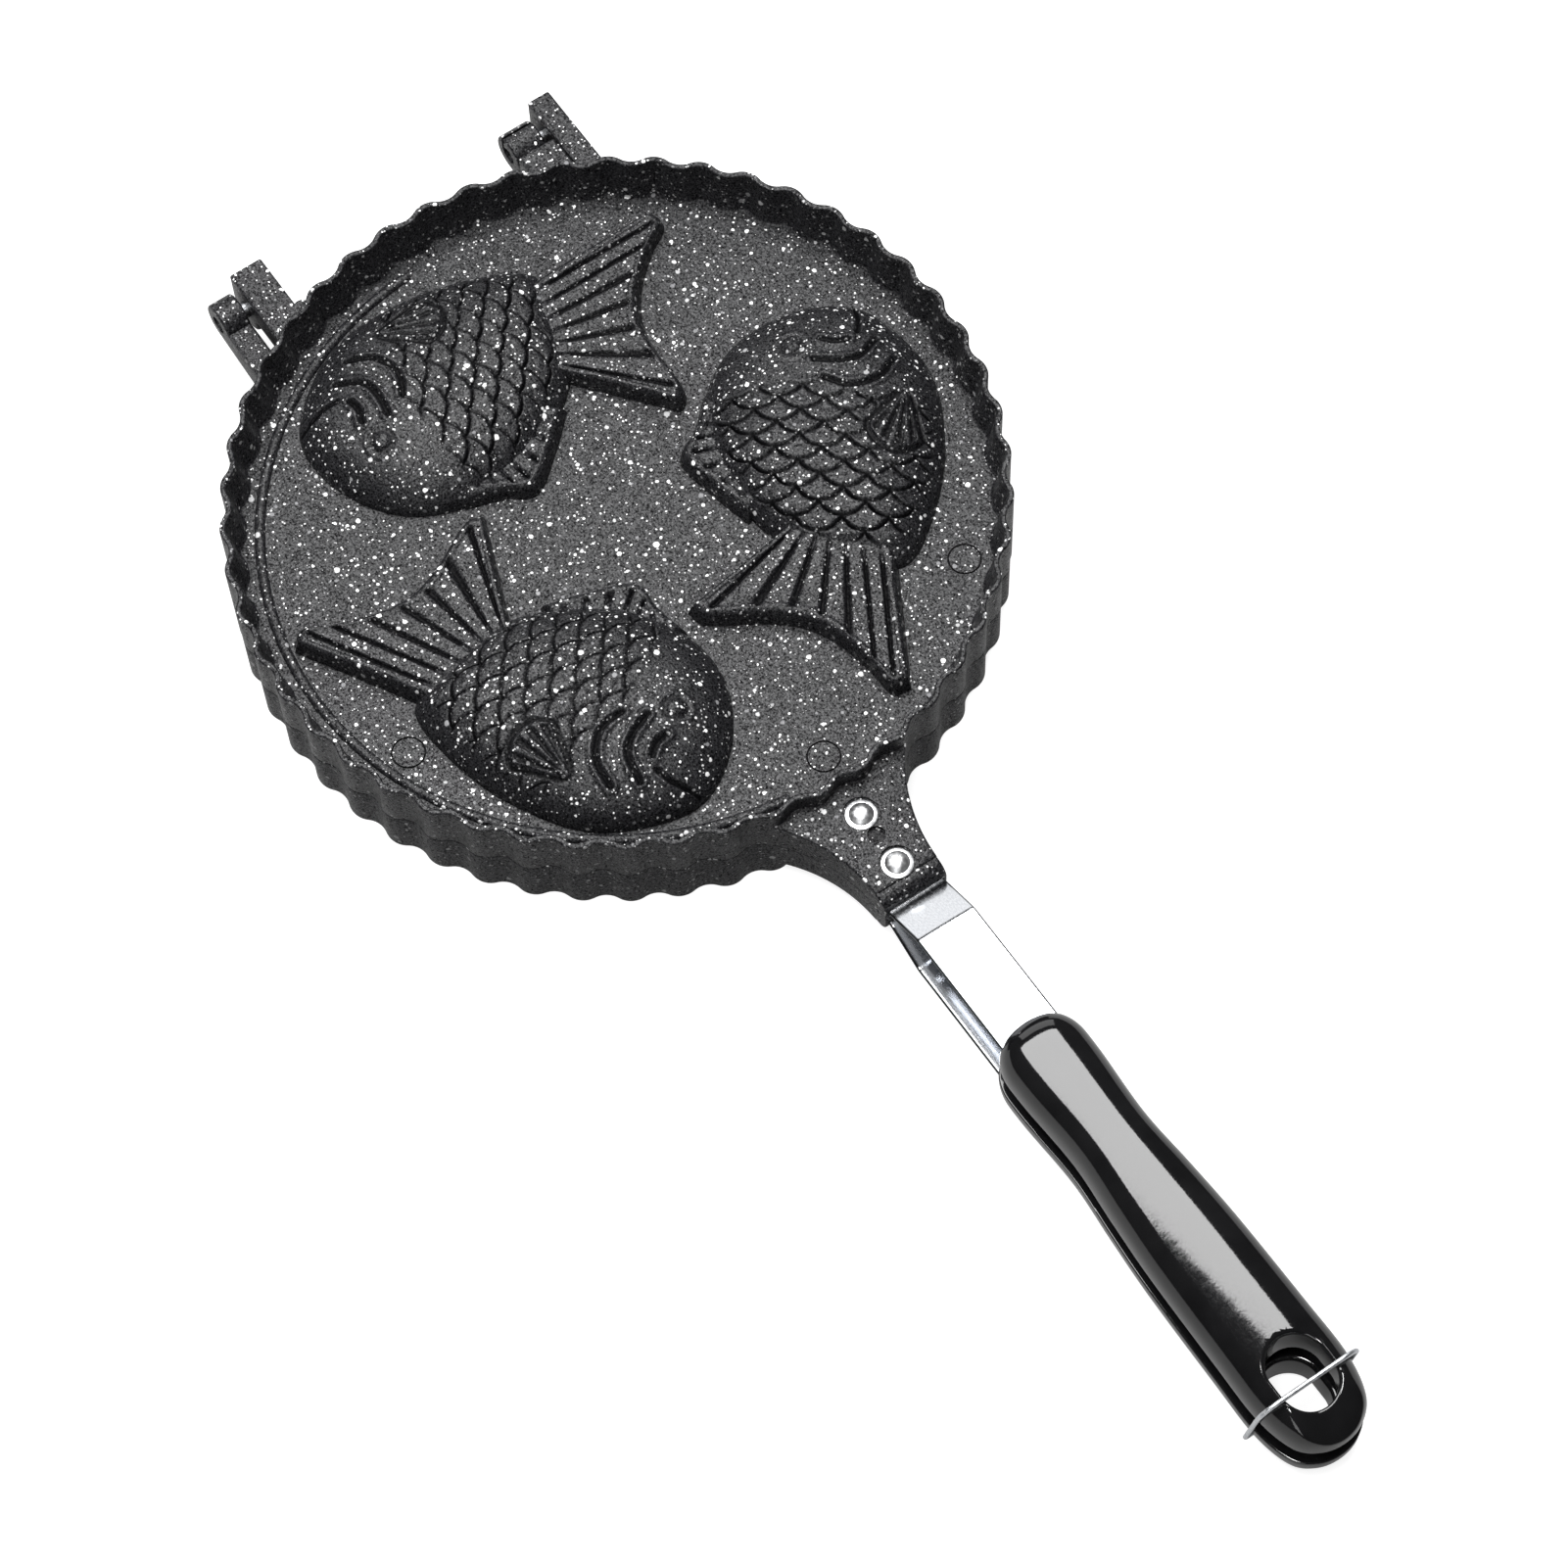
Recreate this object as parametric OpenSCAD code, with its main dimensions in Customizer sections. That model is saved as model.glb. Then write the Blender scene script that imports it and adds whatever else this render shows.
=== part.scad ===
/* [Pan halves] */
// Radius of the rim over the tips of its flutes
rim_r = 107.5; // [98:0.5:116]
// Number of flutes round the rim
flutes = 50; // [44:2:56]
// Depth of a flute, from its tip to its valley
flute_depth = 1.9; // [1.4:0.1:2.3]
// Height of one half, from the parting plane to its rim
half_h = 16.4; // [15.8:0.2:20]
// Thickness of the plate that carries the moulds
web_t = 2.4; // [1.8:0.1:3.2]
// Width of the flat land along the top of the rim
land_w = 1.6; // [1.2:0.1:2]
// Thickness of the rim wall at its foot
foot_w = 3.6; // [2.8:0.1:4.2]
// Gap between the two closed halves
seam = 0.3; // [0.2:0.05:0.8]

/* [Fish moulds] */
// Number of fish round the pan
fish_count = 3; // [2:1:3]
// Distance of a fish's middle from the middle of the pan
fish_r = 67.6; // [66.8:0.2:68.6]
// Direction of the first fish's middle from the handle axis
fish_dir = -42.8; // [-46:0.5:-40]
// Direction in which the first fish swims
fish_turn = 22; // [20:0.5:24]
// Rise of a fish's body over the plate
body_rise = 12.8; // [9:0.1:13]
// Fullness of a fish's body, where larger is squarer
body_power = 2.6; // [2:0.1:3.4]
// Rise of the tail over the plate
tail_rise = 5.4; // [4:0.1:7]
// Rise of the back fin over the plate
fin_rise = 5; // [4:0.1:7]
// Slope of the sides of the tail and fin, as a run
fan_draft = 2.6; // [1.6:0.1:3.2]
// Height of the rays on the tail and fin
ray_h = 0.7; // [0.3:0.1:1]
// Number of rays on a tail
tail_rays = 10; // [6:1:12]
// Number of rays on a back fin
fin_rays = 6; // [4:1:8]
// Thickness of the cast shell over a mould
shell_t = 2.2; // [1.6:0.1:2.8]

/* [Stiffening ridge] */
// Distance of the ridge's centre line inside the rim
ridge_in = 9.5; // [8.5:0.1:11.5]
// Width of the ridge
ridge_w = 3; // [2:0.1:4]
// Height of the ridge over the plate
ridge_h = 1.3; // [0.8:0.1:2]
// Direction in which the ridge starts
ridge_from = 184; // [175:1:200]
// Direction in which the ridge ends
ridge_to = 352; // [330:1:355]

/* [Ears] */
// Length of the ear outside the rim
ear_len = 28.9; // [27:0.1:34]
// Half of the ear's width at its end
ear_half = 9.8; // [9.4:0.1:11]
// Radius of the ear's hollow sides
ear_side_r = 47; // [40:1:60]
// Height of the ear over the parting plane where it leaves the rim
ear_root_h = 10.6; // [9.6:0.1:12]
// Height of the ear over the parting plane at its end
ear_end_h = 8.3; // [7.4:0.1:9]
// Thickness of the ear's side walls
ear_wall = 2.3; // [1.8:0.1:2.6]
// Distance from the rim to the hollow under the ear
ear_hollow_gap = 1.5; // [1:0.1:2.5]
// Distance of the inner rivet from the rim
rivet_from_rim = 7.8; // [7.4:0.1:9]
// Distance of the outer rivet from the ear's end
rivet_from_end = 4.7; // [4.2:0.1:6]
// Distance from the inner rivet to the round pocket beside it
pocket_from_rivet = 6.9; // [6.6:0.1:8]
// Diameter of the round pocket between the rivets
pocket_d = 5; // [3:0.1:6]
// Depth of the round pocket between the rivets
pocket_depth = 1; // [0.5:0.1:2]
// Width of the groove before the lip
groove_w = 0.7; // [0.4:0.1:1]
// Depth of the groove before the lip
groove_depth = 0.6; // [0.3:0.1:1]

/* [Rivets] */
// Diameter of a rivet's shank
shank_d = 5; // [4:0.1:5.6]
// Diameter of a rivet's head
head_d = 8.8; // [8:0.1:9.4]
// Height of the flat ring of a rivet's head
head_ring_h = 0.7; // [0.4:0.1:1.2]
// Diameter of the dome on a rivet's head
dome_d = 6.8; // [6:0.1:7.6]
// Height of the dome on a rivet's head
dome_h = 1.7; // [1:0.1:2.4]
// Diameter of a rivet's closed end
tail_d = 7.6; // [6.6:0.1:8.6]
// Height of a rivet's closed end
tail_h = 1.1; // [0.7:0.1:1.6]
// Least depth of a rivet's seat
seat_sink = 0.1; // [0.1:0.05:0.4]
// Gap round a rivet's head in its seat
seat_gap = 0.6; // [0.3:0.1:1]
// Gap round a rivet's or screw's shank in its hole
shank_gap = 0.05; // [0.02:0.01:0.2]

/* [Straps] */
// Thickness of a strap
strap_t = 1.5; // [1.2:0.1:1.8]
// Length of strap that shows between the ear and the grip
strap_free = 50.8; // [48:0.2:56]
// Width of a strap between ear and grip
strap_w = 17.8; // [16.6:0.1:19]
// Height of the strap's lower face over the parting plane, in the ear
strap_seat_z = 2.4; // [2:0.1:3]
// Height of the strap's lower face over the parting plane, in the grip
strap_high_z = 8.1; // [7.4:0.1:9]
// Distance from the lip to the strap's first bend
strap_bend_gap = 1.2; // [0.6:0.1:3]
// Length of the strap's slope
strap_slope = 12.5; // [9:0.5:18]
// Radius of the strap's bends
strap_bend_r = 5; // [3:0.5:8]
// Width of the strap's end inside the grip
tang_w = 12; // [9:0.5:15]
// Distance from the grips' front to the place where the strap narrows
tang_from_front = 9; // [6:0.5:14]
// Length of the strap past the grip's screw
tang_past_screw = 6; // [4:0.5:8]
// Gap between the strap's edges and its ear or grip
strap_gap = 0.2; // [0.1:0.05:0.5]

/* [Grips] */
// Length of a grip
grip_len = 136.2; // [130:0.2:142]
// Thickness of a grip
grip_t = 11.9; // [11:0.1:12.2]
// Gap between the two grips' flat faces
grip_gap = 8.2; // [8:0.1:9.4]
// Half of the grips' width behind the nose
nose_half = 12.3; // [11.6:0.1:13]
// Half of the grips' width at the waist
waist_half = 11.3; // [10.8:0.1:12]
// Half of the grips' width near the rear
rear_half = 14.1; // [13.4:0.1:14.6]
// Fullness of a grip's rounded section, where larger is squarer
grip_power = 2.6; // [2.2:0.1:3.2]
// Distance of the hanging hole's middle from the grips' rear
hole_back = 18.6; // [18:0.1:20]
// Width of the hanging hole
hole_w = 15.8; // [13:0.1:16]
// Length of the hanging hole
hole_len = 20.1; // [18:0.1:21]
// Distance from the hanging hole's middle to the screw
screw_back = 26; // [22:0.5:34]
// Diameter of the grip's screw
screw_d = 4; // [3:0.1:4.4]
// Diameter of the screw's head
screw_head_d = 7.4; // [6.4:0.1:8]
// Height of the screw's head
screw_head_h = 2; // [1.4:0.1:2.6]
// Width of the slot in the screw's head
screw_slot_w = 1; // [0.6:0.1:1.4]
// Length of thread above the strap
screw_bite = 3.2; // [2:0.1:4]

/* [Hinge] */
// Distance of the hinge axis outside the rim
hinge_out = 9; // [8:0.1:11.5]
// Radius of the upper half's hinge blocks behind the axis
block_r = 6.9; // [6:0.1:8]
// Height of the upper half's hinge blocks over the axis
block_h = 8.6; // [7.4:0.1:10]
// Radius of the lower half's knuckles
knuckle_r = 6; // [5:0.1:6.6]
// Height of the lower half's lugs over the axis
lug_rise = 1.6; // [1:0.1:3]
// Place along the axis where the left block starts, from the middle
left_block_y = -48; // [-50:0.5:-46]
// Width of the left block
left_block_w = 10.3; // [8:0.1:12]
// Width of the left knuckle
left_knuckle_w = 7.5; // [6:0.1:9]
// Place along the axis where the right knuckle starts, from the middle
right_knuckle_y = 40; // [38:0.5:42]
// Width of the right knuckle
right_knuckle_w = 10; // [8:0.1:12]
// Width of the right block
right_block_w = 7.2; // [6:0.1:9]
// Gap between a block and the knuckle beside it
side_gap = 1.5; // [0.5:0.1:2.5]
// Width of the step that the right block has beside its knuckle
step_w = 12; // [8:0.5:13]
// Diameter of the boss beside the left block
boss_d = 5; // [3:0.1:6]
// Distance from the rim's wall to the boss
boss_out = 6; // [5:0.1:6.5]
// Width of the slot along the right knuckle
slot_w = 1; // [0.6:0.1:1.6]
// Diameter of a hinge pin
pin_d = 5; // [4:0.1:5.6]
// Gap round a pin where it turns
pin_gap = 0.2; // [0.1:0.05:0.3]
// Depth of a pin's end below the face of its knuckle
pin_sink = 1.2; // [0.5:0.1:2]
// Smallest gap between moving castings
swing_gap = 0.6; // [0.4:0.1:1]

/* [Locking wire] */
// Diameter of the wire
wire_d = 1.3; // [1:0.1:1.6]
// Distance of the wire's pivots before the hanging hole's middle
wire_pivot_back = 0.5; // [0:0.1:1.5]
// Height of the wire's pivots over the table
wire_pivot_z = 4.4; // [3.8:0.1:5.4]
// Distance of the wire's bar behind the hanging hole's middle
wire_bar_back = 3.3; // [2.6:0.1:4]
// Gap between the wire's bar and the grip under it
wire_rest_gap = 0.3; // [0.3:0.05:0.5]
// Gap between the wire's legs and the grips' sides
wire_side_gap = 0.5; // [0.4:0.05:0.8]
// Gap between the wire and the grip's end when it swings
wire_swing_gap = 0.2; // [0.15:0.05:0.3]
// Radius of the wire's shoulders
wire_shoulder_r = 5.5; // [3:0.1:6.5]
// Radius of the wire's bends at its pivots
wire_toe_r = 1.4; // [1:0.1:1.6]
// Depth of a pivot in the side of the grip
wire_bite = 3; // [2:0.1:4]
// Gap round the wire in its pivot hole
wire_hole_gap = 0.15; // [0.1:0.05:0.25]

/* [Hidden] */

casting_colour = "#3c3c3e";
steel_colour = "#c9cbcd";
bakelite_colour = "#101011";

// A little more than a cut needs, so that no faces coincide
over = 1;

// The flutes are tangent arcs of one radius, tips outside and valleys inside
half_pitch = 180 / flutes;
valley_r = rim_r - flute_depth;
arc_a = 2 * (1 - cos(half_pitch));
arc_b = 2 * flute_depth * (1 + cos(half_pitch));
arc_c = pow(rim_r, 2) + pow(valley_r, 2) - 2 * rim_r * valley_r * cos(half_pitch);
flute_r = (sqrt(pow(arc_b, 2) + 4 * arc_a * arc_c) - arc_b) / (2 * arc_a);
tip_c = rim_r - flute_r;
valley_c = valley_r + flute_r;
tip_span = atan2(valley_c * sin(half_pitch), valley_c * cos(half_pitch) - tip_c);
valley_span = tip_span - half_pitch;
draft = (foot_w - land_w) / (half_h - web_t);

ridge_r = rim_r - ridge_in;
hinge_x = rim_r + hinge_out;
ear_reach = rim_r + ear_len;
grip_front_x = ear_reach + strap_free;
grip_rear_x = grip_front_x + grip_len;
hinge_back_x = -hinge_x - block_r;
pan_x = -(grip_rear_x + hinge_back_x) / 2;

// The ear's root runs this far into the rim's wall
ear_sink = 2;
ear_side_y = ear_half + ear_side_r;
rivet_in_x = rim_r + rivet_from_rim;
rivets_x = [rivet_in_x, ear_reach - rivet_from_end];
rivet_seat_r = head_d / 2 + seat_gap;
lip_z = strap_seat_z + strap_t;
lip_r = ear_end_h - lip_z - groove_depth;
lip_end_x = ear_reach + lip_r;

tongue_half = ear_half - ear_wall - strap_gap;
tongue_front_x = rivet_in_x - shank_d;
bend_x = lip_end_x + strap_bend_gap;
high_x = bend_x + strap_slope;
grip_z = grip_gap / 2;
hole_x = grip_rear_x - hole_back;
screw_x = hole_x - screw_back;
tang_end_x = screw_x + tang_past_screw;
tang_x = grip_front_x + tang_from_front;

right_block_y = right_knuckle_y + right_knuckle_w + side_gap;
left_knuckle_y = left_block_y - side_gap - left_knuckle_w;
step_x = -hinge_x + knuckle_r + swing_gap;
// Place where the left lug's raised part ends, before the upper rim
lug_top_x = -sqrt(pow(rim_r, 2) - pow(left_knuckle_y + left_knuckle_w, 2)) - swing_gap;

// Level of the lugs' lower side at the rim, and the step below the block's top
lug_deep = 0.7 * half_h;
step_drop = 1.2;
dome_ball_r = (pow(dome_d / 2, 2) + pow(dome_h, 2)) / (2 * dome_h);

pivot_x = hole_x - wire_pivot_back;
pivot_z = wire_pivot_z - half_h;
bar_x = hole_x + wire_bar_back;
crown_z = grip_z + grip_t * pow(1 - pow(hole_w / 2 / rear_half, grip_power), 1 / grip_power);
bar_z = crown_z + wire_rest_gap + wire_d / 2;
wire_reach = norm([bar_x - pivot_x, bar_z - pivot_z]);
wire_lean = atan2(bar_x - pivot_x, bar_z - pivot_z);
wire_leg_y = rear_half + wire_side_gap + wire_d / 2;

// Outline of a grip, as points along one side from nose to rear, then mirrored
grip_side = [[grip_front_x + 1.8, 0.62 * nose_half], [grip_front_x + 7.5, 0.95 * nose_half],
             [grip_front_x + 17, nose_half], [grip_front_x + 38, waist_half],
             [grip_front_x + 56, mix(waist_half, rear_half, 0.46)],
             [grip_front_x + 74, mix(waist_half, rear_half, 0.84)],
             [hole_x - 16, rear_half], [hole_x + 1, rear_half],
             [grip_rear_x - 6.4, 0.81 * rear_half], [grip_rear_x - 1.5, 0.45 * rear_half]];
grip_last = len(grip_side) - 1;
grip_outline = closed_curve(concat(
    [[grip_front_x, 0]], [for (p = grip_side) [p.x, -p.y]],
    [[grip_rear_x, 0]], [for (i = [grip_last:-1:0]) grip_side[i]]), 2);

// Fish outlines: x runs from tail to head and y to the back, from the fish's middle
body_points = [[39.8, 3], [36, 20], [24, 34.5], [7, 40.2], [-11, 37.2], [-27, 26.5], [-37, 14],
               [-41, -4], [-41, -18], [-26, -24.6], [-5, -27], [18, -22.8], [33.5, -10]];
body_middle = [2, 6];
tail_root = [[-31, 14.5], [-34.5, 3], [-37.5, -15.5]];
tail_edge = [[-58.5, 40.5], [-62, 35], [-60.8, 20], [-61.6, 9], [-66, -0.5], [-73.5, -9.5],
             [-80.5, -16], [-78.5, -21.2]];
fin_root = [[6, 34], [-8, 32], [-24, 21]];
fin_edge = [[8, 40.8], [-3, 42.8], [-12, 45.6], [-22, 36], [-30.5, 25.5]];
tail_hollow_root = [[-31, 11.5], [-34, 1], [-37, -13]];
tail_hollow_edge = [[-53.5, 31.5], [-57.6, 27], [-57.6, 17], [-58.6, 8], [-62.6, -2.5],
                    [-69, -10.5], [-72, -14.5], [-69, -17.6]];

function mix(a, b, t) = a + (b - a) * t;

function clamp(x, lo, hi) = min(max(x, lo), hi);

function at_level(points, z) = [for (p = points) [p.x, p.y, z]];

// Catmull-Rom curve between b and c, with neighbours a and d
function curve(a, b, c, d, t) =
    (2 * b + (c - a) * t + (2 * a - 5 * b + 4 * c - d) * pow(t, 2)
     + (3 * b - a - 3 * c + d) * pow(t, 3)) / 2;

// Smooth closed outline through points, with a number of steps between two of them
function closed_curve(points, steps) =
    let (n = len(points))
    [for (i = [0:n - 1], k = [0:steps - 1])
        curve(points[(i + n - 1) % n], points[i], points[(i + 1) % n], points[(i + 2) % n],
              k / steps)];

// Place on a smooth open line through points, where t runs from 0 to 1
function along(points, t) =
    let (last = len(points) - 1,
         i = min(floor(t * last), last - 1),
         before = i == 0 ? 2 * points[0] - points[1] : points[i - 1],
         after = i == last - 1 ? 2 * points[last] - points[last - 1] : points[i + 2])
    curve(before, points[i], points[i + 1], after, t * last - i);

// Outline of the fluted rim, drawn in by a wall thickness, with steps along each arc
function rim_outline(wall, steps) =
    [for (i = [0:flutes - 1])
        let (tip = (2 * i + 1) * half_pitch, valley = tip + half_pitch)
        each concat(
            [for (k = [0:steps - 1])
                let (a = tip + tip_span * (2 * k / steps - 1))
                tip_c * [cos(tip), sin(tip)] + (flute_r - wall) * [cos(a), sin(a)]],
            [for (k = [0:steps - 1])
                let (a = valley + 180 + valley_span * (1 - 2 * k / steps))
                valley_c * [cos(valley), sin(valley)] + (flute_r + wall) * [cos(a), sin(a)]])];

// Height of the ear's sloping top over the parting plane
function ear_top(x) = mix(ear_root_h, ear_end_h, (x - rim_r) / (ear_reach - rim_r));

// Centre line with its corners turned into arcs
function bend(line, r, steps) =
    [for (i = [0:len(line) - 1])
        if (i == 0 || i == len(line) - 1) line[i]
        else
            let (u = line[i] - line[i - 1], v = line[i + 1] - line[i],
                 from = atan2(u.y, u.x), turn = atan2(v.y, v.x) - from,
                 side = sign(turn), lead = r * tan(abs(turn) / 2),
                 start = line[i] - lead * [cos(from), sin(from)],
                 middle = start + side * r * [-sin(from), cos(from)])
            each [for (k = [0:steps])
                let (a = from + turn * k / steps)
                middle + side * r * [sin(a), -cos(a)]]];

// Outline of a strip of even thickness along a centre line
function strip(line, t) =
    let (last = len(line) - 1,
         ways = [for (i = [0:last]) line[min(i + 1, last)] - line[max(i - 1, 0)]],
         sides = [for (w = ways) [-w.y, w.x] / norm(w) * t / 2])
    concat([for (i = [0:last]) line[i] - sides[i]],
           [for (i = [last:-1:0]) line[i] + sides[i]]);

// Solid through rings of points, each with as many points, lowest ring first
module loft(rings) {
    n = len(rings[0]);
    top = (len(rings) - 1) * n;
    sides = [for (k = [0:len(rings) - 2], i = [0:n - 1])
        let (a = k * n + i, b = k * n + (i + 1) % n)
        each [[a, b + n, b], [a, a + n, b + n]]];
    polyhedron([for (ring = rings) each ring],
               concat([[for (i = [0:n - 1]) i]], sides, [[for (i = [n - 1:-1:0]) top + i]]));
}

// Moves children from the pan's own frame, with its origin in the parting plane
module at_pan() {
    translate([pan_x, 0, half_h]) children();
}

// Turns the upper half's form into the lower half's
module upside_down() {
    mirror([0, 0, 1]) children();
}

// Drum across the handle, between two places along the hinge axis
module drum(r, x, z, y, w) {
    translate([x, y + w, z]) rotate([90, 0, 0]) cylinder(r = r, h = w, $fn = 64);
}

// Fluted rim with drafted inner walls, round the flat plate
module rim() {
    difference() {
        translate([0, 0, seam / 2]) linear_extrude(half_h - seam / 2) polygon(rim_outline(0, 4));
        loft([at_level(rim_outline(foot_w + draft * (web_t + over), 3), -over),
              at_level(rim_outline(land_w - draft * over, 3), half_h + over)]);
    }
    translate([0, 0, seam / 2])
        cylinder(r = rim_r - (foot_w + flute_depth) / 2, h = web_t - seam / 2, $fn = 180);
}

// Rounded body of a fish, where inset draws the outline in and sink lowers its foot
module fish_body(inset, rise, sink, steps, levels) {
    drawn = [for (p = closed_curve(body_points, steps))
        p - inset * (p - body_middle) / norm(p - body_middle)];
    loft(concat([at_level(drawn, -sink)],
                [for (s = levels)
                    at_level([for (p = drawn) mix(body_middle, p, s)],
                             rise * sqrt(1 - pow(s, body_power)))]));
}

// Fan with drafted edges and rays that run from its root to its edge
module fan(root, edge, rise, rays, ray, sink) {
    count = max(2 * rays, 4);
    inner = [for (k = [0:count])
        [mix(0.1, 0.9, k / count), rise + (k % 2 == 1 ? ray : 0)]];
    sections = concat([[0, -sink / 2], [0.045, 0.75 * rise]], inner,
                      [[0.955, 0.75 * rise], [1, -sink / 2]]);
    loft([for (s = sections)
        let (from = along(root, s[0]), to = along(edge, s[0]), way = (to - from) / norm(to - from),
             low = min(s[1], 0.7 * rise), side = to - 0.45 * fan_draft * way,
             brow = to - fan_draft * way)
        [[from.x, from.y, -sink], [from.x, from.y, s[1]], [brow.x, brow.y, s[1]],
         [side.x, side.y, low], [to.x, to.y, -sink]]]);
}

// Places children at each fish, on a level over the parting plane
module at_fish(z) {
    for (i = [0:fish_count - 1])
        rotate(i * 360 / fish_count)
            translate([fish_r * cos(fish_dir), fish_r * sin(fish_dir), z])
                rotate(fish_turn) children();
}

// Outer skin of one fish over the plate
module fish_skin() {
    sink = web_t / 2;
    fish_body(0, body_rise, sink, 3, [0.975, 0.91, 0.79, 0.6, 0.36, 0.14]);
    fan(tail_root, tail_edge, tail_rise, tail_rays, ray_h, sink);
    fan(fin_root, fin_edge, fin_rise, fin_rays, ray_h, sink);
}

// Mould that a fish is baked in, open at the parting plane
module fish_hollow() {
    depth = web_t - shell_t;
    fish_body(shell_t, body_rise + depth, over, 2, [0.95, 0.8, 0.5, 0.2]);
    fan(tail_hollow_root, tail_hollow_edge, tail_rise + depth, 0, 0, over);
}

// Low ridge on the plate, along part of the rim
module ridge() {
    translate([0, 0, web_t - ridge_h]) rotate(ridge_from)
        rotate_extrude(angle = ridge_to - ridge_from, $fn = 180)
            translate([ridge_r - ridge_w / 2, 0]) square([ridge_w, 2 * ridge_h]);
}

// Plan of the ear, drawn in by a wall
module ear_plan(wall, from_x, to_x) {
    half = ear_half - wall;
    difference() {
        translate([from_x, -ear_side_y]) square([to_x - from_x, 2 * ear_side_y]);
        for (side = [-1, 1]) translate([0, side * ear_side_y]) {
            translate([ear_reach, 0]) circle(r = ear_side_r + wall, $fn = 240);
            translate([ear_reach, side > 0 ? half - ear_side_y : -over])
                square([over + to_x - ear_reach, ear_side_y - half + over]);
        }
    }
}

// Ear that the strap is riveted to, with its sloping top, lip and side walls
module ear() {
    intersection() {
        translate([0, 0, seam / 2])
            linear_extrude(ear_root_h + over) ear_plan(0, valley_r - ear_sink, lip_end_x);
        rotate([90, 0, 0]) translate([0, 0, -ear_side_y]) linear_extrude(2 * ear_side_y) {
            polygon([[valley_r - ear_sink - over, 0], [ear_reach, 0], [ear_reach, ear_end_h],
                     [rim_r, ear_root_h], [valley_r - ear_sink - over, ear_root_h]]);
            translate([ear_reach - over, 0]) square([lip_r + over, lip_z]);
            translate([ear_reach - over, 0]) square([over, lip_z + lip_r]);
            translate([ear_reach, lip_z]) circle(r = lip_r, $fn = 64);
        }
    }
}

// Everything that is cut out of an ear
module ear_cuts() {
    translate([0, 0, -over])
        linear_extrude(over + lip_z) ear_plan(ear_wall, rim_r + ear_hollow_gap, lip_end_x + over);
    for (x = rivets_x) {
        translate([x, 0, rivet_seat_z(x)]) cylinder(r = rivet_seat_r, h = ear_root_h, $fn = 64);
        translate([x, 0, 0]) cylinder(d = shank_d + 2 * shank_gap, h = ear_root_h, $fn = 48);
    }
    translate([rivet_in_x + pocket_from_rivet, 0, ear_top(rivet_in_x) - pocket_depth])
        cylinder(d = pocket_d, h = ear_root_h, $fn = 48);
    translate([ear_reach - groove_w / 2, -ear_side_y, ear_end_h - groove_depth])
        cube([groove_w, 2 * ear_side_y, over + groove_depth]);
}

// Height at which a rivet's head sits on the ear
function rivet_seat_z(x) = ear_top(x + rivet_seat_r) - seat_sink;

// One half as both are cast, over the parting plane and without its hinge
module half_casting() {
    difference() {
        union() {
            rim();
            at_fish(web_t) fish_skin();
            ridge();
            ear();
        }
        at_fish(0) fish_hollow();
        ear_cuts();
    }
}

// Place where the rim's wall is met, going back from the middle at a place along the hinge axis
function rim_x(y) = -sqrt(pow(tip_c, 2) - pow(y, 2));

// Hinge block of the upper half, rounded about the axis and square above it
module block(y, w) {
    drum(block_r, -hinge_x, 0, y, w);
    translate([-hinge_x - block_r, y, 0]) cube([block_r, w, block_h]);
    translate([-hinge_x, y, seam / 2]) cube([hinge_x + rim_x(y + w / 2), w, block_h - seam / 2]);
}

// Both blocks of the upper half, with the step beside the right one
module blocks() {
    block(left_block_y, left_block_w);
    block(right_block_y, right_block_w);
    translate([step_x, right_block_y - step_w, seam / 2])
        cube([rim_x(right_knuckle_y) - step_x, step_w, block_h - step_drop - seam / 2]);
    translate([rim_x(left_block_y) - boss_out, left_block_y + left_block_w + 1, seam / 2])
        cylinder(d = boss_d, h = block_h - seam / 2, $fn = 32);
}

// Knuckle of the lower half, with the lug that carries it from the rim and stays level up to top_x
module knuckle(y, w, top_x) {
    drum(knuckle_r, -hinge_x, 0, y, w);
    rotate([90, 0, 0]) translate([0, 0, -y - w]) linear_extrude(w)
        polygon([[-hinge_x, -knuckle_r], [rim_x(y + w / 2), -lug_deep],
                 [rim_x(y + w / 2), -seam / 2], [top_x, -seam / 2], [top_x, lug_rise],
                 [-hinge_x, lug_rise]]);
}

// Room inside the lugs and blocks that stays clear of the tray and moulds
module rim_inside() {
    cylinder(r = tip_c, h = 4 * half_h, center = true, $fn = 180);
}

module lower_pan() {
    color(casting_colour) at_pan() difference() {
        union() {
            upside_down() half_casting();
            difference() {
                union() {
                    knuckle(left_knuckle_y, left_knuckle_w, lug_top_x);
                    knuckle(right_knuckle_y, right_knuckle_w, knuckle_r - hinge_x);
                }
                rim_inside();
            }
        }
        drum(pin_d / 2 + pin_gap, -hinge_x, 0, left_knuckle_y - over, left_knuckle_w + 2 * over);
        drum(pin_d / 2 + pin_gap, -hinge_x, 0, right_knuckle_y - over, right_knuckle_w + 2 * over);
        translate([-hinge_x - pin_d / 2 - slot_w / 2, right_knuckle_y - over, 0])
            cube([slot_w, right_knuckle_w + 2 * over, knuckle_r + over]);
    }
}

module upper_pan() {
    color(casting_colour) at_pan() difference() {
        union() {
            half_casting();
            difference() {
                blocks();
                rim_inside();
            }
        }
        drum(pin_d / 2 + shank_gap, -hinge_x, 0, left_block_y - over, left_block_w - pin_sink + over);
        drum(pin_d / 2 + shank_gap, -hinge_x, 0, right_block_y - over, right_block_w - pin_sink + over);
    }
}

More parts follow.
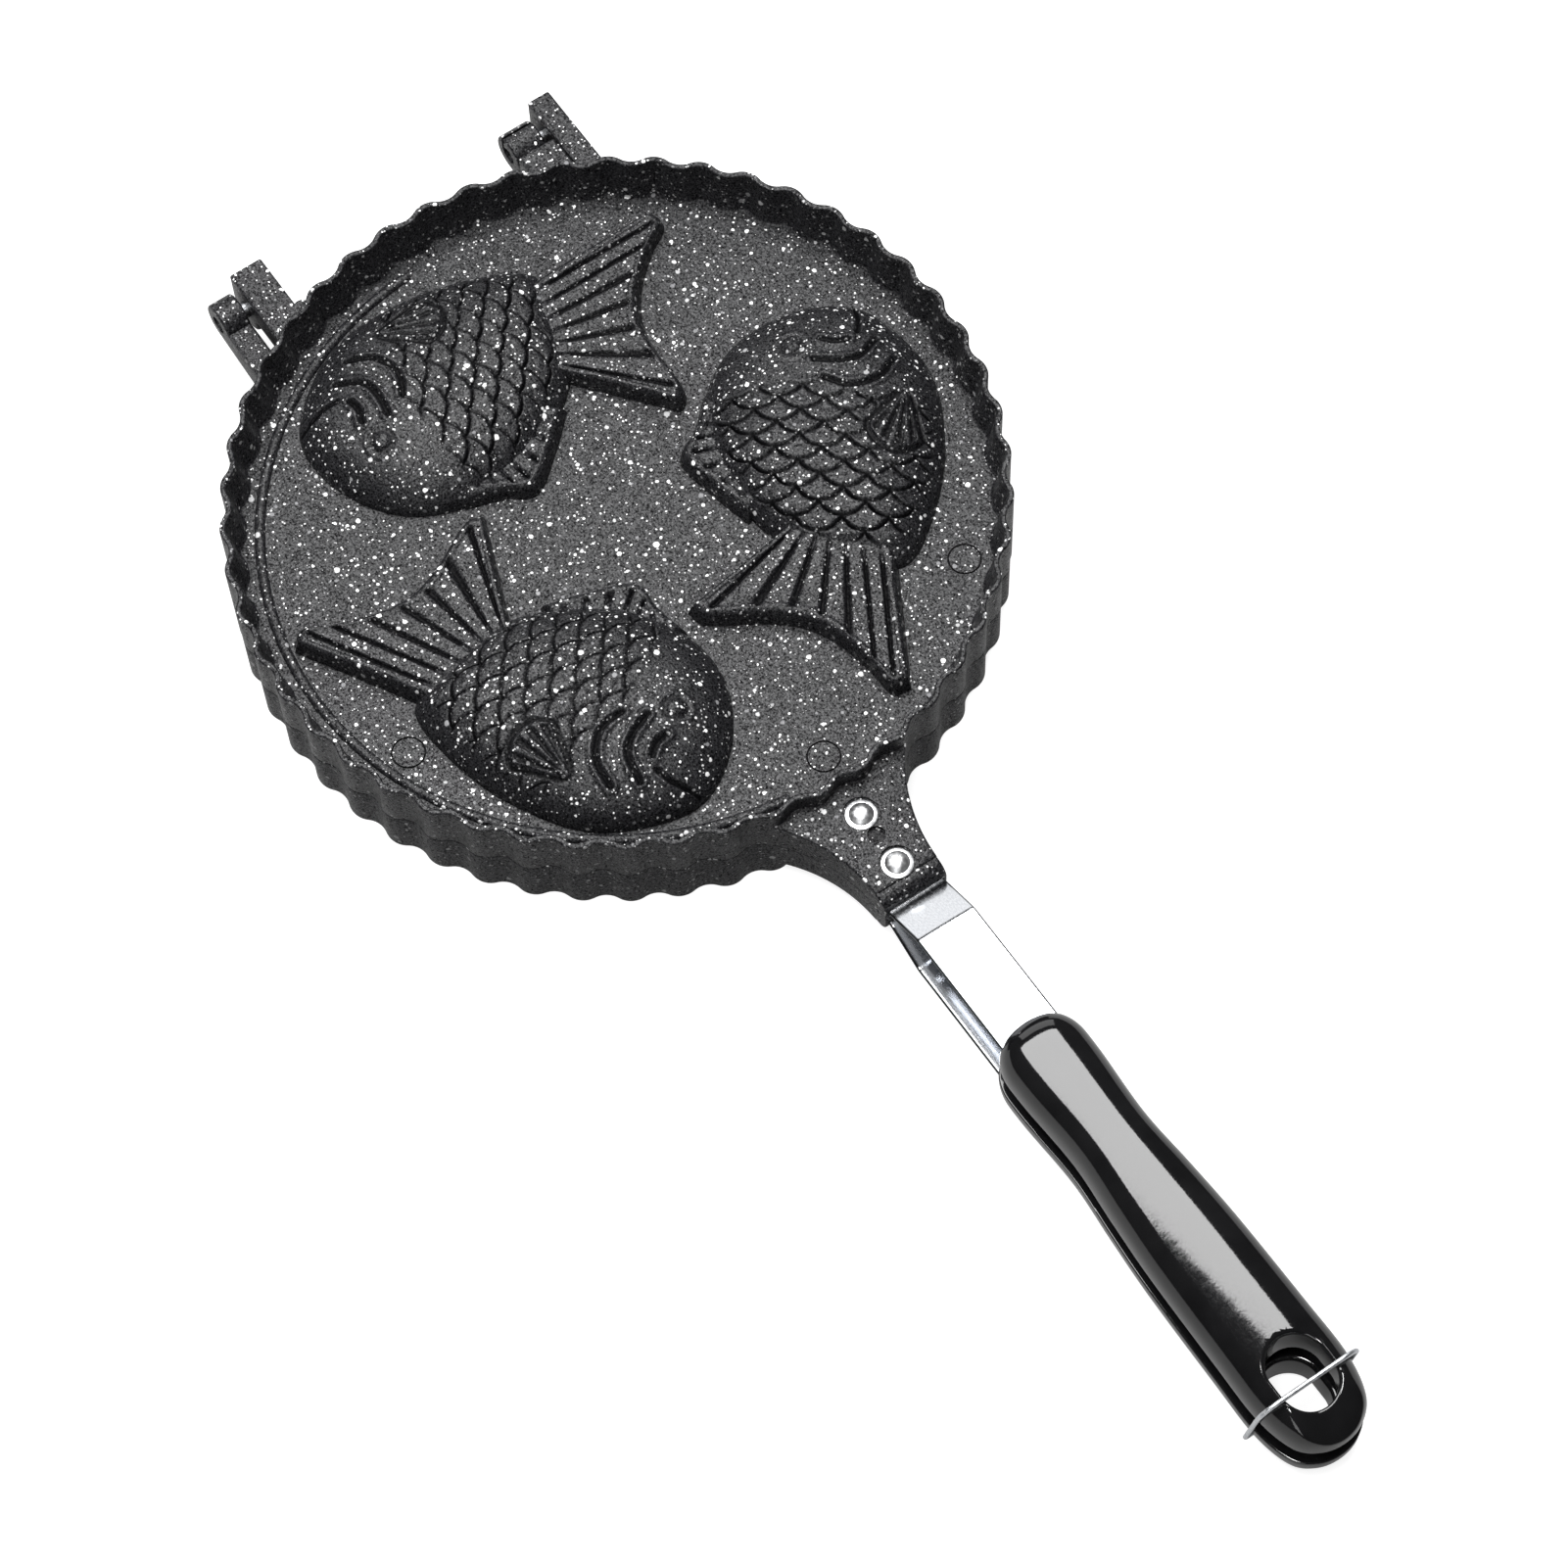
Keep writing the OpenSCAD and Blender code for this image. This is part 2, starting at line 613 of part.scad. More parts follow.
// Bent strap of one half, with its tongue in the ear and its end in the grip
module strap() {
    line = bend([[tongue_front_x, strap_seat_z], [bend_x, strap_seat_z], [high_x, strap_high_z],
                 [tang_end_x, strap_high_z]], strap_bend_r, 5);
    raised = [for (p = line) p + [0, strap_t / 2]];
    difference() {
        intersection() {
            rotate([90, 0, 0]) translate([0, 0, -strap_w / 2])
                linear_extrude(strap_w) polygon(strip(raised, strap_t));
            linear_extrude(half_h) {
                translate([tongue_front_x, -tongue_half])
                    square([lip_end_x - tongue_front_x, 2 * tongue_half]);
                translate([lip_end_x + strap_gap, -strap_w / 2])
                    square([tang_x - lip_end_x - strap_gap, strap_w]);
                translate([lip_end_x - over, -tongue_half])
                    square([over + 2 * strap_gap, 2 * tongue_half]);
                translate([tang_x - over, -tang_w / 2])
                    square([tang_end_x - tang_x + 2 * over, tang_w]);
            }
        }
        for (x = rivets_x) translate([x, 0, 0])
            cylinder(d = shank_d + 2 * shank_gap, h = half_h, $fn = 48);
        translate([screw_x, 0, 0]) cylinder(d = screw_d + 2 * shank_gap, h = half_h, $fn = 48);
    }
}

module lower_strap() {
    color(steel_colour) at_pan() upside_down() strap();
}

module upper_strap() {
    color(steel_colour) at_pan() strap();
}

// Rivet through an ear and its strap, with a domed head and a flat closed end
module rivet(x) {
    translate([x, 0, 0]) {
        translate([0, 0, strap_seat_z - tail_h]) cylinder(d = tail_d, h = tail_h, $fn = 48);
        translate([0, 0, strap_seat_z - over / 2])
            cylinder(d = shank_d, h = rivet_seat_z(x) - strap_seat_z + over, $fn = 48);
        translate([0, 0, rivet_seat_z(x)]) cylinder(d = head_d, h = head_ring_h, $fn = 64);
        translate([0, 0, rivet_seat_z(x) + head_ring_h])
            rotate_extrude($fn = 64) intersection() {
                translate([0, dome_h - dome_ball_r]) circle(r = dome_ball_r, $fn = 96);
                square([dome_d / 2, dome_h]);
            }
    }
}

module lower_inner_rivet() {
    color(steel_colour) at_pan() upside_down() rivet(rivets_x[0]);
}

module lower_outer_rivet() {
    color(steel_colour) at_pan() upside_down() rivet(rivets_x[1]);
}

module upper_inner_rivet() {
    color(steel_colour) at_pan() rivet(rivets_x[0]);
}

module upper_outer_rivet() {
    color(steel_colour) at_pan() rivet(rivets_x[1]);
}

// Solid form of a grip, with a flat inner face and a rounded back
module grip_form() {
    loft(concat([at_level(grip_outline, grip_z)],
                [for (h = [0.4, 0.62, 0.78, 0.9, 0.97, 1])
                    let (s = h == 1 ? 0.2 : pow(1 - pow(h, grip_power), 1 / grip_power))
                    at_level([for (p = grip_outline)
                        let (spine = [clamp(p.x, grip_front_x + nose_half, grip_rear_x - rear_half), 0])
                        mix(spine, p, s)], grip_z + h * grip_t)]));
}

// Grip with its hanging hole, the slot for the strap and the seat of its screw
module grip() {
    difference() {
        grip_form();
        for (side = [-1, 1]) translate([hole_x + side * (hole_len - hole_w) / 2, 0, 0])
            cylinder(d = hole_w, h = 2 * half_h, $fn = 96);
        translate([hole_x - (hole_len - hole_w) / 2, -hole_w / 2, 0])
            cube([hole_len - hole_w, hole_w, 2 * half_h]);
        translate([grip_front_x - over, -strap_w / 2 - strap_gap, strap_high_z])
            cube([tang_x - grip_front_x + over + strap_gap, strap_w + 2 * strap_gap, strap_t]);
        translate([tang_x, -tang_w / 2 - strap_gap, strap_high_z])
            cube([tang_end_x - tang_x + 2 * strap_gap, tang_w + 2 * strap_gap, strap_t]);
        translate([screw_x, 0, 0])
            cylinder(d = screw_head_d + 2 * strap_gap, h = grip_z + screw_head_h, $fn = 64);
        translate([screw_x, 0, 0])
            cylinder(d = screw_d + 2 * shank_gap, h = strap_high_z + strap_t + screw_bite, $fn = 48);
    }
}

module lower_grip() {
    color(bakelite_colour) at_pan() difference() {
        upside_down() grip();
        for (side = [0, 1]) mirror([0, side, 0])
            drum(wire_d / 2 + wire_hole_gap, pivot_x, pivot_z,
                 wire_leg_y - wire_bite - wire_hole_gap, wire_bite + wire_leg_y);
    }
}

// What is taken off the upper grip's rear, so that the wire's bar can swing over it
module wire_relief() {
    difference() {
        translate([bar_x, -rear_half - over, grip_z])
            cube([grip_rear_x - bar_x + over, 2 * (rear_half + over), grip_t + over]);
        drum(wire_reach - wire_d / 2 - wire_swing_gap, pivot_x, pivot_z,
             -rear_half - 2 * over, 2 * rear_half + 4 * over);
    }
}

module upper_grip() {
    color(bakelite_colour) at_pan() difference() {
        grip();
        wire_relief();
    }
}

// Screw that holds a grip to its strap, with a slotted flat head
module grip_screw() {
    translate([screw_x, 0, grip_z]) difference() {
        union() {
            cylinder(d = screw_head_d, h = screw_head_h, $fn = 64);
            cylinder(d = screw_d, h = strap_high_z + strap_t + screw_bite - grip_z - shank_gap, $fn = 48);
        }
        translate([-screw_head_d, -screw_slot_w / 2, -over])
            cube([2 * screw_head_d, screw_slot_w, over + screw_head_h / 3]);
    }
}

module lower_grip_screw() {
    color(steel_colour) at_pan() upside_down() grip_screw();
}

module upper_grip_screw() {
    color(steel_colour) at_pan() grip_screw();
}

module left_hinge_pin() {
    color(steel_colour) at_pan()
        drum(pin_d / 2, -hinge_x, 0, left_knuckle_y + pin_sink,
             left_block_y + left_block_w - left_knuckle_y - 2 * pin_sink);
}

module right_hinge_pin() {
    color(steel_colour) at_pan()
        drum(pin_d / 2, -hinge_x, 0, right_knuckle_y + pin_sink,
             right_block_y + right_block_w - right_knuckle_y - 2 * pin_sink);
}

// Quarter of a ring of wire, in the first quadrant of the x and z plane
module wire_bend(r) {
    rotate([90, 0, 0]) rotate_extrude(angle = 90, $fn = 64)
        translate([r, 0]) circle(d = wire_d, $fn = 24);
}

// Half of the locking wire, standing on its pivot, with x along the pivots
module wire_half() {
    shoulder_y = wire_leg_y - wire_shoulder_r;
    translate([0, 0, wire_reach]) rotate([0, 90, 0]) cylinder(d = wire_d, h = shoulder_y, $fn = 24);
    translate([shoulder_y, 0, wire_reach - wire_shoulder_r]) wire_bend(wire_shoulder_r);
    translate([wire_leg_y, 0, wire_toe_r])
        cylinder(d = wire_d, h = wire_reach - wire_shoulder_r - wire_toe_r, $fn = 24);
    translate([wire_leg_y - wire_toe_r, 0, wire_toe_r]) mirror([0, 0, 1]) wire_bend(wire_toe_r);
    translate([wire_leg_y - wire_bite, 0, 0]) rotate([0, 90, 0])
        cylinder(d = wire_d, h = wire_bite - wire_toe_r, $fn = 24);
}

module locking_wire() {
    color(steel_colour) at_pan() translate([pivot_x, 0, pivot_z]) rotate([0, wire_lean, 0])
        rotate([0, 0, 90]) {
            wire_half();
            mirror([1, 0, 0]) wire_half();
        }
}

lower_pan();
upper_pan();
lower_strap();
upper_strap();
lower_grip();
upper_grip();
lower_inner_rivet();
lower_outer_rivet();
upper_inner_rivet();
upper_outer_rivet();
left_hinge_pin();
right_hinge_pin();
lower_grip_screw();
upper_grip_screw();
locking_wire();
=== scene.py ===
import math
import bpy
import bmesh
import numpy as np
from mathutils import Matrix, Vector


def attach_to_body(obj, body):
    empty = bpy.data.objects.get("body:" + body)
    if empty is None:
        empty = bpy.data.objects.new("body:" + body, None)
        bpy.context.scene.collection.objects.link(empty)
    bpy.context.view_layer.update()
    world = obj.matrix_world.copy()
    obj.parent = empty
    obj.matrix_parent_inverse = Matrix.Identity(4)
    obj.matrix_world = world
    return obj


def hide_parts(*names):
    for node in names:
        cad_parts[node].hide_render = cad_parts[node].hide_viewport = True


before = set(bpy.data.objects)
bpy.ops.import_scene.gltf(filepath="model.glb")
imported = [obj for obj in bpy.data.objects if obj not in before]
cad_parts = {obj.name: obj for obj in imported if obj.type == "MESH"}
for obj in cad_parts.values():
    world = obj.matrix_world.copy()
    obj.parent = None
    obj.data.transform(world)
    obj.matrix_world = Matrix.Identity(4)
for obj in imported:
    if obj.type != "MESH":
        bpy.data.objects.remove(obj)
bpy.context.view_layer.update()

# Everything is modelled in millimetres about the middle of the closed pan, then placed in metres
place = {
    "middle": (-0.1, 0.0, 0.0164),  # middle of the parting plane, in the frame
    "unit": 0.001,                  # metres in one unit of the model
    "parting": 0.15,                # half of the seam between the halves
    "plate": 2.4,                   # outer face of the plate that carries the moulds
    "same": 1e-4,                   # corners nearer than this are one
}
upperPlace = Matrix.Translation(place["middle"]) @ Matrix.Scale(place["unit"], 4)
lowerPlace = upperPlace @ Matrix.Scale(-1, 4, (0, 0, 1))


def newPiece(name, bm):  # closes seams, turns faces outwards and makes the object
    bmesh.ops.remove_doubles(bm, verts=bm.verts, dist=place["same"])
    bmesh.ops.recalc_face_normals(bm, faces=bm.faces)
    mesh = bpy.data.meshes.new(name)
    bm.to_mesh(mesh)
    bm.free()
    piece = bpy.data.objects.new(name, mesh)
    bpy.context.scene.collection.objects.link(piece)
    return piece


def combine(piece, other, how):
    step = piece.modifiers.new(how.lower(), "BOOLEAN")
    step.operation = how
    step.solver = "MANIFOLD"
    step.object = other
    graph = bpy.context.evaluated_depsgraph_get()
    shape = bpy.data.meshes.new_from_object(piece.evaluated_get(graph))
    piece.modifiers.clear()
    piece.data = shape
    bpy.data.objects.remove(other)


def join(piece, *others):
    for other in others:
        combine(piece, other, "UNION")
    return piece


def cut(piece, *others):
    for other in others:
        combine(piece, other, "DIFFERENCE")


def moveMesh(mesh, matrix):  # a mirrored mesh gets its faces turned outwards again
    mesh.transform(matrix)
    if matrix.to_3x3().determinant() < 0:
        mesh.flip_normals()


def copyPiece(piece, name, matrix):
    twin = bpy.data.objects.new(name, piece.data.copy())
    bpy.context.scene.collection.objects.link(twin)
    moveMesh(twin.data, matrix)
    return twin


def settle(piece, matrix, material, smoothAngle):  # into the frame, with its shading and finish
    moveMesh(piece.data, matrix)
    piece.data.shade_smooth()
    piece.data.set_sharp_from_angle(angle=math.radians(smoothAngle))
    piece.data.materials.clear()
    piece.data.materials.append(material)


def meshPoints(mesh):  # the places of a mesh's corners, as three lists
    flat = np.empty(len(mesh.vertices) * 3)
    mesh.vertices.foreach_get("co", flat)
    return flat.reshape(-1, 3).T


def mark(mesh, name, values):  # a number at each corner, for the material to read
    layer = mesh.attributes.new(name, "FLOAT", "POINT")
    layer.data.foreach_set("value", values.astype(np.float32))


def bentGrid(columns, rows, shape):  # a grid whose points are moved by a function of two shares
    bm = bmesh.new()
    bmesh.ops.create_grid(bm, x_segments=columns, y_segments=rows, size=0.5)
    flat = np.array([v.co for v in bm.verts])
    for v, point in zip(bm.verts, shape(flat[:, 0] + 0.5, flat[:, 1] + 0.5)):
        v.co = point
    bmesh.ops.remove_doubles(bm, verts=bm.verts, dist=place["same"])
    return bm


def closeEnds(bm):
    bmesh.ops.holes_fill(bm, edges=[e for e in bm.edges if e.is_boundary], sides=0)
    return bm


def madeVerts(made):
    return [part for part in made["geom"] if isinstance(part, bmesh.types.BMVert)]


def closeBelow(bm, z):  # walls down from the open edge, and a flat floor
    edges = [e for e in bm.edges if e.is_boundary]
    for v in madeVerts(bmesh.ops.extrude_edge_only(bm, edges=edges)):
        v.co.z = z
    return closeEnds(bm)


def stacked(columns, levels, ring):  # each level is a row of a grid that the ring function wraps round
    last = len(levels) - 1
    table = np.array(levels, float)
    return closeEnds(bentGrid(columns, last, lambda a, b: ring(a, table[np.rint(b * last).astype(int)])))


def outlineSolid(points, low, high, bevel=0.0):  # an outline, extruded along Z
    bm = bmesh.new()
    base = bm.faces.new([bm.verts.new((x, y, low)) for x, y in points])
    made = bmesh.ops.extrude_face_region(bm, geom=[base])
    bmesh.ops.translate(bm, vec=(0, 0, high - low), verts=madeVerts(made))
    if bevel:
        bevelSharp(bm, bevel)
    return bm


def bevelSharp(bm, width, segments=2, sharpAngle=30):
    bmesh.ops.recalc_face_normals(bm, faces=bm.faces)
    edges = [e for e in bm.edges if e.is_manifold and e.calc_face_angle(0) > math.radians(sharpAngle)]
    bmesh.ops.bevel(bm, geom=edges, offset=width, offset_type="OFFSET", affect="EDGES", segments=segments,
                    profile=0.5, material=-1, clamp_overlap=True)


def drum(radius, middle, length, axis="Z", count=64, bevel=0.0):  # a round bar along Z or Y
    bm = bmesh.new()
    bmesh.ops.create_cone(bm, cap_ends=True, segments=count, radius1=radius, radius2=radius, depth=length)
    if bevel:
        bevelSharp(bm, bevel, 3)
    turn = Matrix.Rotation(math.pi / 2, 4, "X") if axis == "Y" else Matrix()
    bmesh.ops.transform(bm, matrix=Matrix.Translation(middle) @ turn, verts=bm.verts)
    return bm


def block(low, high, bevel=0.0):
    bm = bmesh.new()
    bmesh.ops.create_cube(bm, size=1)
    bmesh.ops.scale(bm, vec=Vector(high) - Vector(low), verts=bm.verts)
    bmesh.ops.translate(bm, vec=(Vector(high) + Vector(low)) / 2, verts=bm.verts)
    if bevel:
        bevelSharp(bm, bevel)
    return bm


def lathe(profile, count):  # a profile of radius and height, turned about the vertical axis
    bm = bmesh.new()
    verts = [bm.verts.new((r, 0, z)) for r, z in profile]
    edges = [bm.edges.new(pair) for pair in zip(verts, verts[1:])]
    bmesh.ops.spin(bm, geom=verts + edges, cent=(0, 0, 0), axis=(0, 0, 1), angle=2 * math.pi, steps=count,
                   use_merge=True)
    return bm


def smooth(low, high, value):
    t = np.clip((value - low) / (high - low), 0, 1)
    return t * t * (3 - 2 * t)


def band(steps, value):  # rises between the first two steps and falls between the last two
    return smooth(steps[0], steps[1], value) - smooth(steps[2], steps[3], value)


def along(x, line):  # height of a line through points, at x
    return np.interp(x, *zip(*line))


def arcPoints(x, z, r, start, end, count):
    return [(x + r * math.cos(t), z + r * math.sin(t)) for t in np.radians(np.linspace(start, end, count))]


def spline(points, where, closed=False):  # Catmull-Rom, where runs from 0 to 1
    points = np.array(points, float)
    n = len(points)
    if closed:
        t = (where % 1) * n
        i = np.minimum(t.astype(int), n - 1)
        rows = [points[(i + k) % n] for k in (-1, 0, 1, 2)]
    else:
        points = np.vstack([2 * points[0] - points[1], points, 2 * points[-1] - points[-2]])
        t = where * (n - 1)
        i = np.minimum(t.astype(int), n - 2)
        rows = [points[i + k] for k in range(4)]
    a, b, c, d = rows
    f = (t - i)[:, None]
    return (2 * b + (c - a) * f + (2 * a - 5 * b + 4 * c - d) * f ** 2 + (3 * b - a - 3 * c + d) * f ** 3) / 2


def linear(code):  # sRGB hex to the linear colour that a shader takes
    levels = [int(code[i:i + 2], 16) / 255 for i in (1, 3, 5)]
    return [v / 12.92 if v <= 0.04045 else ((v + 0.055) / 1.055) ** 2.4 for v in levels] + [1]


def newMaterial(name):
    material = bpy.data.materials.new(name)
    material.use_nodes = True
    material.node_tree.nodes.clear()
    return material


def add(material, kind, values=None, **settings):  # a node with its settings, values and links
    node = material.node_tree.nodes.new("ShaderNode" + kind)
    for key, value in settings.items():
        setattr(node, key, value)
    for socket, value in (values or {}).items():
        if isinstance(value, bpy.types.NodeSocket):
            material.node_tree.links.new(value, node.inputs[socket])
        else:
            node.inputs[socket].default_value = value
    return node


def maths(material, operation, *values, **settings):
    return add(material, "Math", dict(enumerate(values)), operation=operation, **settings).outputs[0]


def vectors(material, operation, values):
    return add(material, "VectorMath", values, operation=operation).outputs[0]


def mapped(material, value, source, target):  # carries one range over to another
    return add(material, "MapRange", {"Value": value, "From Min": source[0], "From Max": source[1],
                                      "To Min": target[0], "To Max": target[1]}).outputs[0]


def noise(material, vector, scale, detail, roughness=0.5):
    return add(material, "TexNoise", {"Vector": vector, "Scale": scale, "Detail": detail,
                                      "Roughness": roughness}).outputs


def mixed(material, factor, low, high):
    return add(material, "Mix", {"Factor": factor, "A": low, "B": high}, data_type="RGBA").outputs["Result"]


def ramp(material, factor, stops):
    node = add(material, "ValToRGB", {"Fac": factor})
    for stop, (position, colour) in zip(node.color_ramp.elements, stops):
        stop.position = position
        stop.color = linear(colour)
    return node.outputs["Color"]


def bumped(material, height, strength, distance):
    return add(material, "Bump", {"Height": height, "Strength": strength, "Distance": distance}).outputs[0]


def shade(material, values):
    shader = add(material, "BsdfPrincipled", values)
    add(material, "OutputMaterial", {"Surface": shader.outputs[0]})
    return material


def perMillimetre(size):  # scale of a texture on Object coordinates, from its real size
    return 1000 / size


evenNoise = (0.3, 0.7)  # range that most of a noise texture lies in

coat = {
    "dark": "#040405", "light": "#29292b", "mottle": (0.4, 0.62),  # charcoal, and where its grain turns
    "grain": 0.6, "pebble": 0.8, "wobble": 0.9,
    "shift": 0.0006,  # metres that the edge of a fleck strays
    # size of a cell, radius of its largest fleck as a share of it, share of cells without a fleck
    "flecks": [(1.05, 0.34, 0.3), (1.9, 0.3, 0.4), (3.1, 0.26, 0.45), (5.4, 0.19, 0.5)],
    "fleckTones": [(0.15, "#6c6c6e"), (0.75, "#f8f8f8")], "fleckEdge": 22.0, "fleckHeight": 0.35,
    "level": (0.3, 0.9), "shadedWallFlecks": 0.22,  # upward part of the normal, and the share of the flecks left on steep walls: fewer flecks there as painted shade
    "roughness": (0.25, 0.39), "ior": 1.45,
    "gloss": (0.0, 0.56),  # specular level between the grain and on it
    "bump": (0.7, 0.0003),
    "sunk": "#070708", "grooveShadeDull": 0.85,  # painted shade for carved lines and recesses, and the share of the gloss that this shade takes away
}


def makeStoneCoat():  # spray-applied non-stick coat with light flecks: satin, mottled, slightly pebbled; painted shade in carved lines and on steep walls
    m = newMaterial("stoneCoat")
    source = add(m, "TexCoord").outputs
    where = source["Object"]
    wobble = noise(m, where, perMillimetre(coat["wobble"]), 1.0)["Color"]
    offset = vectors(m, "SUBTRACT", {0: wobble, 1: (0.5, 0.5, 0.5)})
    warped = vectors(m, "ADD", {0: where, 1: vectors(m, "SCALE", {0: offset, "Scale": coat["shift"]})})
    grain = noise(m, where, perMillimetre(coat["grain"]), 4.0, 0.8)["Fac"]
    colour = ramp(m, grain, zip(coat["mottle"], (coat["dark"], coat["light"])))
    facing = add(m, "SeparateXYZ", {"Vector": source["Normal"]}).outputs[2]
    # flecks fade on steep walls by how the surface faces: painted shade
    wallShadeOnFlecks = mapped(m, maths(m, "ABSOLUTE", facing), coat["level"], (coat["shadedWallFlecks"], 1.0))
    bright = 0.0
    for cell, radius, missing in coat["flecks"]:
        spots = add(m, "TexVoronoi", {"Vector": warped, "Scale": perMillimetre(cell), "Randomness": 1.0})
        parts = add(m, "SeparateColor", {"Color": spots.outputs["Color"]}).outputs
        reach = mapped(m, parts[0], (missing, 1.0), (0.0, radius))
        inside = maths(m, "SUBTRACT", reach, spots.outputs["Distance"])
        share = maths(m, "MULTIPLY", maths(m, "MULTIPLY", inside, coat["fleckEdge"], use_clamp=True), wallShadeOnFlecks)
        colour = mixed(m, share, colour, ramp(m, parts[1], coat["fleckTones"]))
        bright = maths(m, "MAXIMUM", bright, share)
    # shade painted into carved lines and recesses, read from the marked attribute
    sunk = add(m, "Attribute", attribute_name="paintedGrooveShade").outputs["Fac"]
    pebble = noise(m, where, perMillimetre(coat["pebble"]), 3.0, 0.7)["Fac"]
    gloss = mapped(m, grain, coat["mottle"], coat["gloss"])
    # the painted shade also takes gloss away
    clear = maths(m, "MULTIPLY_ADD", sunk, -coat["grooveShadeDull"], 1.0)
    # carved lines are painted near-black here, as shade
    return shade(m, {
        "Base Color": mixed(m, sunk, colour, linear(coat["sunk"])),
        "Roughness": mapped(m, grain, evenNoise, coat["roughness"]), "IOR": coat["ior"],
        "Specular IOR Level": maths(m, "MULTIPLY", gloss, clear),
        "Normal": bumped(m, maths(m, "MULTIPLY_ADD", bright, coat["fleckHeight"], pebble), *coat["bump"])})


def makeMetal(name, colour, roughness, grain, strength):  # with fine lines, and painted shade along the marked edges
    m = newMaterial(name)
    where = add(m, "Mapping", {"Vector": add(m, "TexCoord").outputs["Object"], "Scale": grain}).outputs[0]
    lines = noise(m, where, 1.0, 3.0)["Fac"]
    tone = ramp(m, lines, zip(evenNoise, colour))
    # marked edges turn dark grey: painted shade
    edge = add(m, "Attribute", attribute_name="paintedEdgeShade").outputs["Fac"]
    return shade(m, {"Base Color": mixed(m, edge, tone, linear("#3c3e41")), "Metallic": 1.0,
                     "Roughness": mapped(m, lines, evenNoise, (roughness * 0.8, roughness * 1.25)),
                     "Normal": bumped(m, lines, strength, 0.00002)})


bakelite = {"dark": "#0b0b0c", "light": "#121213", "cloud": 9, "fine": 0.7, "fineShare": 0.12,
            "roughness": (0.055, 0.1), "ior": 1.6, "bump": (0.25, 0.00015)}


def makeBakelite():  # pressed phenolic: black, glossy, a faint ripple from the mould
    m = newMaterial("mouldedBakelite")
    where = add(m, "TexCoord").outputs["Object"]
    cloud = noise(m, where, perMillimetre(bakelite["cloud"]), 4.0)["Fac"]
    fine = noise(m, where, perMillimetre(bakelite["fine"]), 2.0)["Fac"]
    both = maths(m, "MULTIPLY_ADD", fine, bakelite["fineShare"], cloud)
    return shade(m, {"Base Color": ramp(m, cloud, zip(evenNoise, (bakelite["dark"], bakelite["light"]))),
                     "Roughness": mapped(m, fine, evenNoise, bakelite["roughness"]), "IOR": bakelite["ior"],
                     "Normal": bumped(m, both, *bakelite["bump"])})


stoneCoat = makeStoneCoat()
mouldedBakelite = makeBakelite()
# Metals: two tones, roughness, lines in a metre along each axis, strength of their bump
polishedStainless = makeMetal("polishedStainless", ("#bcbec2", "#d0d2d5"), 0.13, (60, 2600, 2600), 0.25)
brightAluminium = makeMetal("brightAluminium", ("#cfd0d2", "#e6e7e8"), 0.36, (900, 900, 900), 0.5)
drawnSteelWire = makeMetal("drawnSteelWire", ("#c4c7cb", "#dfe1e3"), 0.4, (700, 700, 700), 0.3)
turnedSteel = makeMetal("turnedSteel", ("#8f9194", "#aeb0b3"), 0.3, (1200, 200, 1200), 0.3)
print("materials made")


# Outline of the rim: tangent arcs, tips outside and valleys inside, drawn in by a wall
rim = {
    "tip": 107.5, "flutes": 50, "depth": 1.9, "columns": 1000,
    # wall thickness and height from the parting face, over the land and down to the plate
    "levels": [(0.35, 0.15), (0.1, 0.22), (0.0, 0.45), (0.0, 15.9), (0.08, 16.18), (0.25, 16.33), (0.5, 16.4),
               (1.15, 16.4), (1.4, 16.33), (1.57, 16.15), (1.62, 15.9), (3.5, 3.1), (3.75, 2.7), (4.2, 2.4)],
    "ridge": {"radius": 98.0, "half": 1.5, "height": 1.3, "sunk": 0.8, "from": 183.0, "to": 354.0,
              "grid": (20, 460)},
    "ejectors": [(27.8, -86.0), (92.6, 3.7), (65.6, 69.0), (-19.5, 53.4)],
    # circle of an ejector pin: radius, depth of its groove, half its width at the floor and far above
    "ejector": {"radius": 4.5, "depth": 0.45, "floor": 0.22, "open": 0.4, "top": 4.0},
}


def fluteRadius(angle, wall):
    half = math.pi / rim["flutes"]
    tip, valley = rim["tip"], rim["tip"] - rim["depth"]
    a = 2 * (1 - math.cos(half))
    b = 2 * rim["depth"] * (1 + math.cos(half))
    c = tip ** 2 + valley ** 2 - 2 * tip * valley * math.cos(half)
    arc = (math.sqrt(b * b + 4 * a * c) - b) / (2 * a)
    tipMiddle, valleyMiddle = tip - arc, valley + arc
    turn = math.atan2(valleyMiddle * math.sin(half), valleyMiddle * math.cos(half) - tipMiddle)
    meet = np.arctan2((arc - wall) * np.sin(turn), tipMiddle + (arc - wall) * math.cos(turn))
    near = np.abs((angle / half) % 2 - 1) * half  # angle from the nearest tip
    inner = half - near
    tipPart = np.sqrt(np.maximum((arc - wall) ** 2 - (tipMiddle * np.sin(near)) ** 2, 0))
    valleyPart = np.sqrt((arc + wall) ** 2 - (valleyMiddle * np.sin(inner)) ** 2)
    onTip, onValley = tipMiddle * np.cos(near) + tipPart, valleyMiddle * np.cos(inner) - valleyPart
    return np.where(near < meet, onTip, onValley)


def rimRing(a, row):
    angle = 2 * math.pi * a
    r = fluteRadius(angle, row[:, 0])
    return np.stack([r * np.cos(angle), r * np.sin(angle), row[:, 1]], 1)


